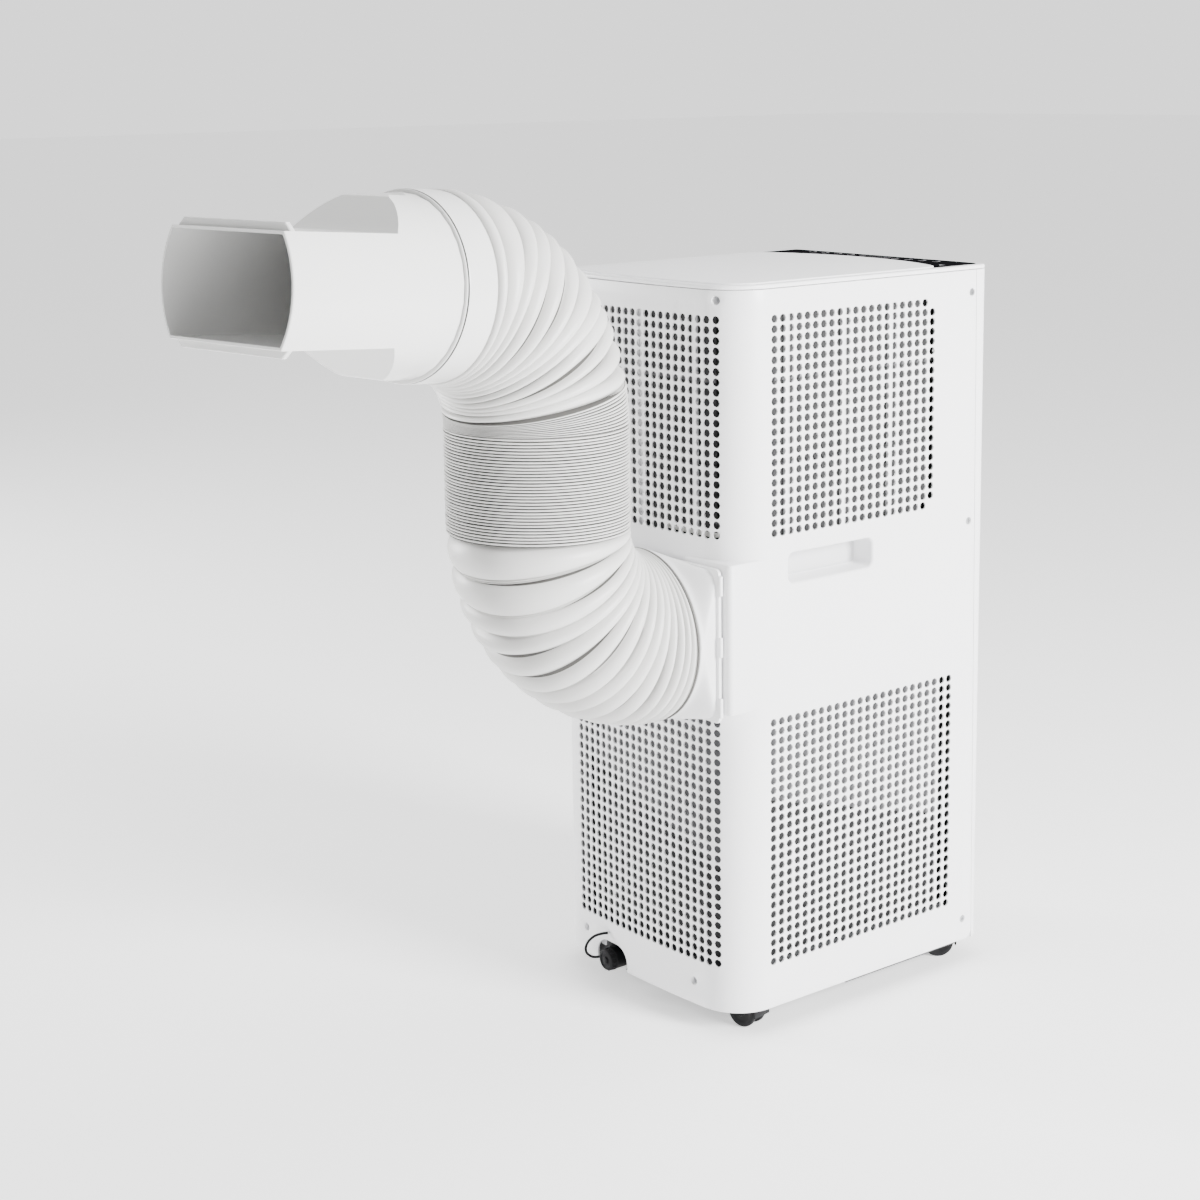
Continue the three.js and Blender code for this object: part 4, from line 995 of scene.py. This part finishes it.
def upper_bend():
    part = Part()
    toward = YAW @ (0, 1, 0)
    place = arc_place(UPPER_R, UPPER_FOOT, (0, 0, 1), toward, YAW @ (-1, 0, 0))
    ends = shares([0.21] * FINE_FOLDS + [1, 1.1, 0.9, 1.2, 1, 1.3, 1, 1.2, 1.4, 1.2, 1.5, 1.1])
    outer, inner, kinds = bend_rings(UPPER_R, UPPER_SWEEP, ends, 12.0, place, 1.5)
    part.hollow(outer + inner[::-1], kinds)
    piece = build("hose_pleats_upper", part, [HOSE, CREASE_SHADE], sharp=60)
    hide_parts("hose_upper_bend")
    rise, reach = math.sin(UPPER_SWEEP), 1 - math.cos(UPPER_SWEEP)
    end = UPPER_FOOT + UPPER_R * (np.array([0, 0, 1]) * rise + toward * reach)
    body(UPPER_FOOT)
    body(end)
    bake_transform(piece)
    return end


# ---------------------------------------------------------------- nozzle
def nozzle_frame():
    """Rows are the nozzle's own X (left to right), Y (up and down) and Z (towards the mouth)."""
    along = YAW @ turn("X", NOZZLE_RISE) @ (0, 1, 0)
    across = YAW @ np.array([1.0, 0, 0])
    return np.stack([across, np.cross(along, across), along])


NOZZLE_AXES = nozzle_frame()
NOZZLE = {"collar_r": 77.7, "collar": 34.0, "tube_r": 74.5, "mouth_r": 79.5, "length": 206.0,
          "wall": 2.4, "half": 43.0, "flat": 71.8, "wedge0": 69.0, "wedge1": 94.0, "flange": 49.4,
          "lip": 6.0}


def nozzle(foot):
    """Makes the function that turns points of the nozzle's frame into the row's metres."""
    def place(points):
        return body(foot + np.asarray(points, float) @ NOZZLE_AXES)
    return place


def flattened(w, inset):
    """A ring of the nozzle: a circle cut flat above and below. Corners keep their place in it."""
    n = NOZZLE
    radius = n["tube_r"] + (n["mouth_r"] - n["tube_r"]) * (w - n["collar"]) / (n["length"] - n["collar"])
    share = min(1.0, max(0.0, (w - n["wedge0"]) / (n["wedge1"] - n["wedge0"])))
    half = radius + (n["half"] - radius) * share if share < 1 else n["half"]
    half = min(half, n["flat"]) if w > n["collar"] + 12 else half
    radius, half = radius - inset, half - inset
    corner = math.asin(min(0.9999, half / radius))
    sides, tops = 16, 14
    points = []
    for turn_by in (0, 1):
        sign = 1 - 2 * turn_by
        for a in np.linspace(-corner, corner, sides):
            points.append((sign * radius * math.cos(a), sign * radius * math.sin(a), w))
        x_end = radius * math.cos(corner)
        limit = math.pi / 2
        for k in range(1, tops):
            a = corner + (2 * limit - 2 * corner) * k / tops
            x, y = radius * math.cos(a), min(half, radius * math.sin(a))
            if half < radius * 0.995:
                x, y = x_end * (1 - 2 * k / tops), half
            points.append((sign * x, sign * y, w))
    return np.array(points)


def nozzle_pieces(foot):
    place = nozzle(foot)
    cuff = Part()
    rings = []
    for r, z in ((73.4, 0.6), (76.6, 0.6), (77.5, 1.2), (77.7, 2.4), (77.7, 30.0), (77.4, 31.2), (76.2, 31.6),
                 (76.2, 32.4), (77.1, 32.6), (77.3, 33.2), (76.8, 33.8), (73.4, 33.8)):
        rings.append(lifted(circle(r, 96), z))
    # Painted shade: the three bands of the groove get the dark crease-shade material.
    cuff.hollow(rings, [0] * 5 + [1, 1, 1])
    piece = build("nozzle_cuff", cuff, [NOZZLE_MAT, CREASE_SHADE], sharp=50, place=place)
    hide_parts("nozzle_collar")
    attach(piece, "hose_end")

    n = NOZZLE
    stations = [34.2, 36, 50, 60, 68, 68.9, 69.3, 73, 77, 81, 85, 89, 93.7, 94.2, 110, 130, 150, 170, 190,
                205.2, 206]
    outer = [flattened(w, 0.0) for w in stations[:-1]] + [flattened(stations[-1], 0.5)]
    inner = [flattened(w, n["wall"]) for w in stations]
    part = Part()
    part.hollow(outer + inner[::-1])
    chord = math.sqrt(n["mouth_r"] ** 2 - n["half"] ** 2)
    for side in (-1, 1):
        low, high = n["half"] - 1.2, n["flange"]
        half_bar = [(chord - 1, low), (chord - 0.4, n["half"] + 0.4), (chord - 5.5, high - 1.2),
                    (chord - 7.0, high)]
        bar = np.array([(-chord + 1, low), *half_bar, *[(-x, y) for x, y in half_bar[:0:-1]]])
        bar = resample(bar * (1, side), 12)
        if side < 0:
            bar = bar[::-1]
        front, back = n["length"] - n["lip"], n["length"] - n["lip"] - 5.0
        part.loft([lifted(offset(bar, -0.7), back), lifted(bar, back + 0.7), lifted(bar, front - 0.7),
                   lifted(offset(bar, -0.7), front)])
    piece = build("nozzle_shell", part, [NOZZLE_MAT], sharp=17, place=place)
    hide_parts("nozzle")
    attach(piece, "nozzle")


# ---------------------------------------------------------------- casters
CASTERS = [("rear_left", -97.5, 124.0, 10), ("front_left", -97.5, -126.0, 50),
           ("rear_right", 97.5, 124.0, 10), ("front_right", 97.5, -126.0, 50)]
WHEEL_R, TRAIL = 15.0, 9.0


def caster(name, x, y, degrees):
    spin = turn("Z", math.radians(degrees))

    def place(points):
        return body(np.asarray(points, float) @ spin.T + (x, y, 0))
    wheels = Part()
    profile = [(0.1, 0.6), (4.2, 0.6), (4.8, 1.2), (9.6, 1.5), (10.6, 0.9), (13.6, 0.9), (14.6, 1.4),
               (15.0, 2.5), (15.0, 4.6), (14.6, 5.6), (13.6, 6.2), (10.6, 6.2), (9.6, 5.5), (4.8, 5.8),
               (4.2, 6.6), (0.1, 6.6)]
    for side in (-1, 1):
        wheels.loft(lathe_y([(r, side * (3.5 + w)) for r, w in profile], -TRAIL, WHEEL_R, 40))
    piece = build(f"wheel_pair_{name}", wheels, [BLACK], sharp=40, place=place)
    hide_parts(f"caster_wheels_{name}")
    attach(piece, f"wheels_{name}")

    hood_part = Part()
    half, soft = 11.3, 1.3
    outer_r, inner_r = 18.1, 16.2
    edge = [(outer_r, half - soft - 0.6), (outer_r - 0.3, half - 0.7), (outer_r - soft, half),
            (inner_r, half)]
    lane = [(r, -w) for r, w in edge[::-1]] + edge
    rings = []
    for a in np.linspace(math.radians(-8), math.radians(188), 30):
        rings.append([(r * math.cos(a) - TRAIL, w, r * math.sin(a) + WHEEL_R) for r, w in lane])
    hood_part.loft(rings)
    web = np.array([(16.4 * math.cos(a) - TRAIL, 16.4 * math.sin(a) + WHEEL_R)
                    for a in np.linspace(math.radians(-6), math.radians(186), 24)])
    web_layers = ((0.5, -3.2), (0, -2.8), (0, 2.8), (0.5, 3.2))
    hood_part.loft([upright(offset(web, -reach), w) for reach, w in web_layers])
    neck = [(8.4, 25.0), (8.4, 33.6), (7.4, 35.2), (4.0, 35.4), (4.0, 52.6), (3.2, 53.6)]
    hood_part.loft([lifted(circle(r, 28), z) for r, z in neck])
    piece = build(f"fork_hood_{name}", hood_part, [BLACK], sharp=40, place=place)
    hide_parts(f"caster_hood_{name}")
    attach(piece, f"caster_{name}")


# ---------------------------------------------------------------- drain, gland, louvers
def drain():
    x, z, face = PLUG["x"], PLUG["z"], PLUG["face"]
    part = Part()
    part.loft(lathe_y([
        (0.4, face - 18), (7.2, face - 18), (7.2, face - 21.6), (10.0, face - 21.9), (10.6, face - 21.2),
        (10.6, face - 9.0), (10.9, face - 8.2), (10.9, face - 6.6), (10.2, face - 6.0), (10.2, face - 1.6),
        (9.6, face - 0.5), (8.4, face - 0.1), (7.4, face - 0.1), (6.9, face - 0.7), (3.6, face - 0.7),
        (3.2, face + 0.6), (2.4, face + 0.9), (0.2, face + 1.0)], x, z))
    for k in range(14):
        a = 2 * math.pi * k / 14
        cx, cz = x + 10.3 * math.cos(a), z + 10.3 * math.sin(a)
        tooth = [(0.2, face - 5.8), (0.65, face - 5.4), (0.65, face - 2.0), (0.2, face - 1.4)]
        part.loft(lathe_y(tooth, cx, cz, 8))
    piece = build("drain_cap", part, [RUBBER], sharp=35)
    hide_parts("drain_plug")
    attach(piece, "drain_plug")
    spout = Part()
    spout.hollow(lathe_y([(4.5, 121.6), (6.6, 121.6), (7.0, 122.2), (7.0, 163.0), (6.6, 163.8), (4.9, 164.0),
                          (4.5, 163.4)], x, z))
    bracket = rounded_rect(x + 15.5, 42.5, 8.0, 12.0, 1.2, 3)
    # The bracket, kind 1, gets the grey painted shade of the notch.
    spout.loft([upright(bracket, y) for y in (158.2, 160.4)], kind=1)
    piece = build("drain_pipe", spout, [PAN_GREY, BRACKET_SHADE_GREY], sharp=35)
    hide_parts("drain_spout")
    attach(piece, "housing")


STRAP_ROUTE = [(45.2, 164.4, 52.5), (48.5, 168.5, 52), (55.5, 172, 48.5), (62.5, 174, 42), (67, 174.5, 34.5),
               (67, 174, 28.5), (62.5, 172, 25.5), (58, 169.5, 25.5), (53.7, 167, 27)]
STRAP_R = 1.3


def smooth_route(points, per_span):
    """A Catmull-Rom line through the points."""
    p = np.vstack([2 * np.array(points[0]) - points[1], points, 2 * np.array(points[-1]) - points[-2]])
    line = []
    for i in range(1, len(p) - 2):
        a, b, c, d = p[i - 1], p[i], p[i + 1], p[i + 2]
        for t in np.arange(per_span) / per_span:
            line.append(0.5 * (2 * b + (c - a) * t + (2 * a - 5 * b + 4 * c - d) * t ** 2
                               + (3 * b - a - 3 * c + d) * t ** 3))
    line.append(p[-2])
    return np.array(line)


def strap():
    line = smooth_route(STRAP_ROUTE, 6)
    part = Part()
    rings = []
    tangents = np.gradient(line, axis=0)
    tangents /= np.linalg.norm(tangents, axis=1)[:, None]
    normal = np.cross(tangents[0], (0, 0, 1.0))
    for centre, tangent in zip(line, tangents):
        normal = normal - tangent * np.dot(normal, tangent)
        normal /= np.linalg.norm(normal)
        other = np.cross(tangent, normal)
        ring = circle(STRAP_R, 14)
        rings.append(centre + np.outer(ring[:, 0], normal) + np.outer(ring[:, 1], other))
    part.loft(rings)
    piece = build("drain_strap", part, [RUBBER], sharp=60)
    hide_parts("drain_plug_strap")
    tuple(body(line[0]))
    [tuple(p) for p in body(line)]
    body(line[0])
    body(line[-1])
    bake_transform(piece)


def gland():
    y, z = 60.0, 45.0
    rings = []
    for r, x in ((3.7, 124.2), (6.0, 124.2), (6.0, 131.3), (10.2, 131.4), (11.0, 131.8), (10.8, 132.3),
                 (9.6, 132.7), (6.0, 132.8), (4.4, 132.6), (3.7, 131.8)):
        rings.append(np.c_[np.full(32, x), circle(r, 32) + (y, z)])
    part = Part()
    part.hollow(rings)
    piece = build("cord_bush", part, [DARK], sharp=40)
    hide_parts("cord_gland")
    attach(piece, "housing")


def louvers():
    part = Part()
    bottom, top, half = 595.0, 649.0, 94.0
    rings = []
    for reach, y in ((-1.0, -160.7), (0, -161.4), (0, -162.7), (-0.3, -163.2), (-0.9, -163.4), (-7.0, -163.4),
                     (-7.4, -163.0), (-8.0, -163.0), (-8.4, -163.4)):
        outline = rounded_rect(0, (bottom + top) / 2, 2 * (half + reach), top - bottom + 2 * reach,
                               max(4.0 + reach, 1.0), 6)
        rings.append(upright(outline, y))
    part.loft(rings)
    for side in (-1, 1):
        arm = rounded_rect(-157.5, 599.0, 5.0, 5.0, 2.0, 4)
        arm = arm + np.where(arm[:, :1] < -158, -3.4, 0) * (1, 0)
        part.loft([np.c_[np.full(len(arm), side * x), arm] for x in (91.8, 92.2, 93.6, 94.0)])
        pin = circle(2.0, 20) + (-157.5, 599.0)
        part.loft([np.c_[np.full(20, side * x), pin] for x in (93.5, 99.0)])
    piece = build("louver_door", part, [WHITE], sharp=30)
    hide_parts("louver_flap")
    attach(piece, "louver_flap")
    for i, x in enumerate((-60, -20, 20, 60)):
        vane = Part()
        rings = []
        section_points = [(-7.5, 0.0), (-6.6, 0.55), (-3.0, 0.9), (3.0, 0.85), (7.0, 0.4), (7.5, 0.0),
                          (7.0, -0.4), (3.0, -0.85), (-3.0, -0.9), (-6.6, -0.55)]
        for z in (592.6, 593.0, 649.0, 649.4):
            rings.append([(x - v, -147.5 + u, z) for u, v in section_points])
        vane.loft(rings)
        pin = ((1.2, 587.2), (1.5, 587.6), (1.5, 654.6), (1.2, 655))
        vane.loft([lifted(circle(r, 16) + (x, -147.5), z) for r, z in pin])
        piece = build(f"vane_{i + 1}", vane, [DARK], sharp=40)
        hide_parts(f"louver_vane_{i + 1}")
        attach(piece, f"louver_vane_{i + 1}")


# ---------------------------------------------------------------- light and floor
def area_light(name, at, target, size, power):
    data = bpy.data.lights.new(name, "AREA")
    data.shape = "RECTANGLE"
    data.size, data.size_y = size
    data.energy = power
    lamp = bpy.data.objects.new(name, data)
    lamp.location = at
    lamp.rotation_mode = "QUATERNION"
    lamp.rotation_quaternion = (Vector(target) - Vector(at)).to_track_quat("-Z", "Y")
    bpy.context.scene.collection.objects.link(lamp)


BACKDROP_WAY = (0.77, -0.62, 0.12)     # the bright backdrop stands behind the front right corner


def studio():
    mesh = bpy.data.meshes.new("floor")
    mesh.from_pydata([(-30, -30, 0), (30, -30, 0), (30, 30, 0), (-30, 30, 0)], [], [(0, 1, 2, 3)])
    floor = bpy.data.objects.new("floor", mesh)
    pale = moulded("floor_pale", (0.92, 0.92, 0.92), 0.7, grain=40, bump=0.01, shade=0.01)
    pale.node_tree.nodes["Principled BSDF"].inputs["Emission Color"].default_value = (1, 1, 1, 1)
    pale.node_tree.nodes["Principled BSDF"].inputs["Emission Strength"].default_value = 0.75
    mesh.materials.append(pale)
    bpy.context.scene.collection.objects.link(floor)
    world = bpy.data.worlds.new("studio")
    world.use_nodes = True
    nodes, links = world.node_tree.nodes, world.node_tree.links
    where = nodes.new("ShaderNodeTexCoord")
    facing = nodes.new("ShaderNodeVectorMath")
    facing.operation = "DOT_PRODUCT"
    facing.inputs[1].default_value = BACKDROP_WAY
    glow = nodes.new("ShaderNodeMapRange")
    glow.interpolation_type = "SMOOTHSTEP"
    glow.inputs["From Min"].default_value, glow.inputs["From Max"].default_value = 0.1, 0.85
    glow.inputs["To Min"].default_value, glow.inputs["To Max"].default_value = 0.4, 1.6
    links.new(where.outputs["Generated"], facing.inputs[0])
    links.new(facing.outputs["Value"], glow.inputs["Value"])
    links.new(glow.outputs["Result"], nodes["Background"].inputs["Strength"])
    nodes["Background"].inputs["Color"].default_value = (1.0, 1.0, 1.0, 1)
    bpy.context.scene.world = world
    area_light("key", (-2.8, -0.9, 1.3), (0, -0.1, 0.35), (1.0, 1.3), 330)
    area_light("side", (3.0, 1.3, 1.0), (0, 0.2, 0.35), (0.8, 1.2), 150)
    area_light("top", (-0.3, -0.3, 2.4), (-0.1, 0, 0.5), (1.2, 1.2), 28)


# ---------------------------------------------------------------- everything
strap()
rear_cover()
front_cover()
top_cover()
control_strip()
behind_grids()
screws()
hood()
lower_bend()
middle()
nozzle_pieces(upper_bend())
for caster_values in CASTERS:
    caster(*caster_values)
drain()
gland()
louvers()
studio()
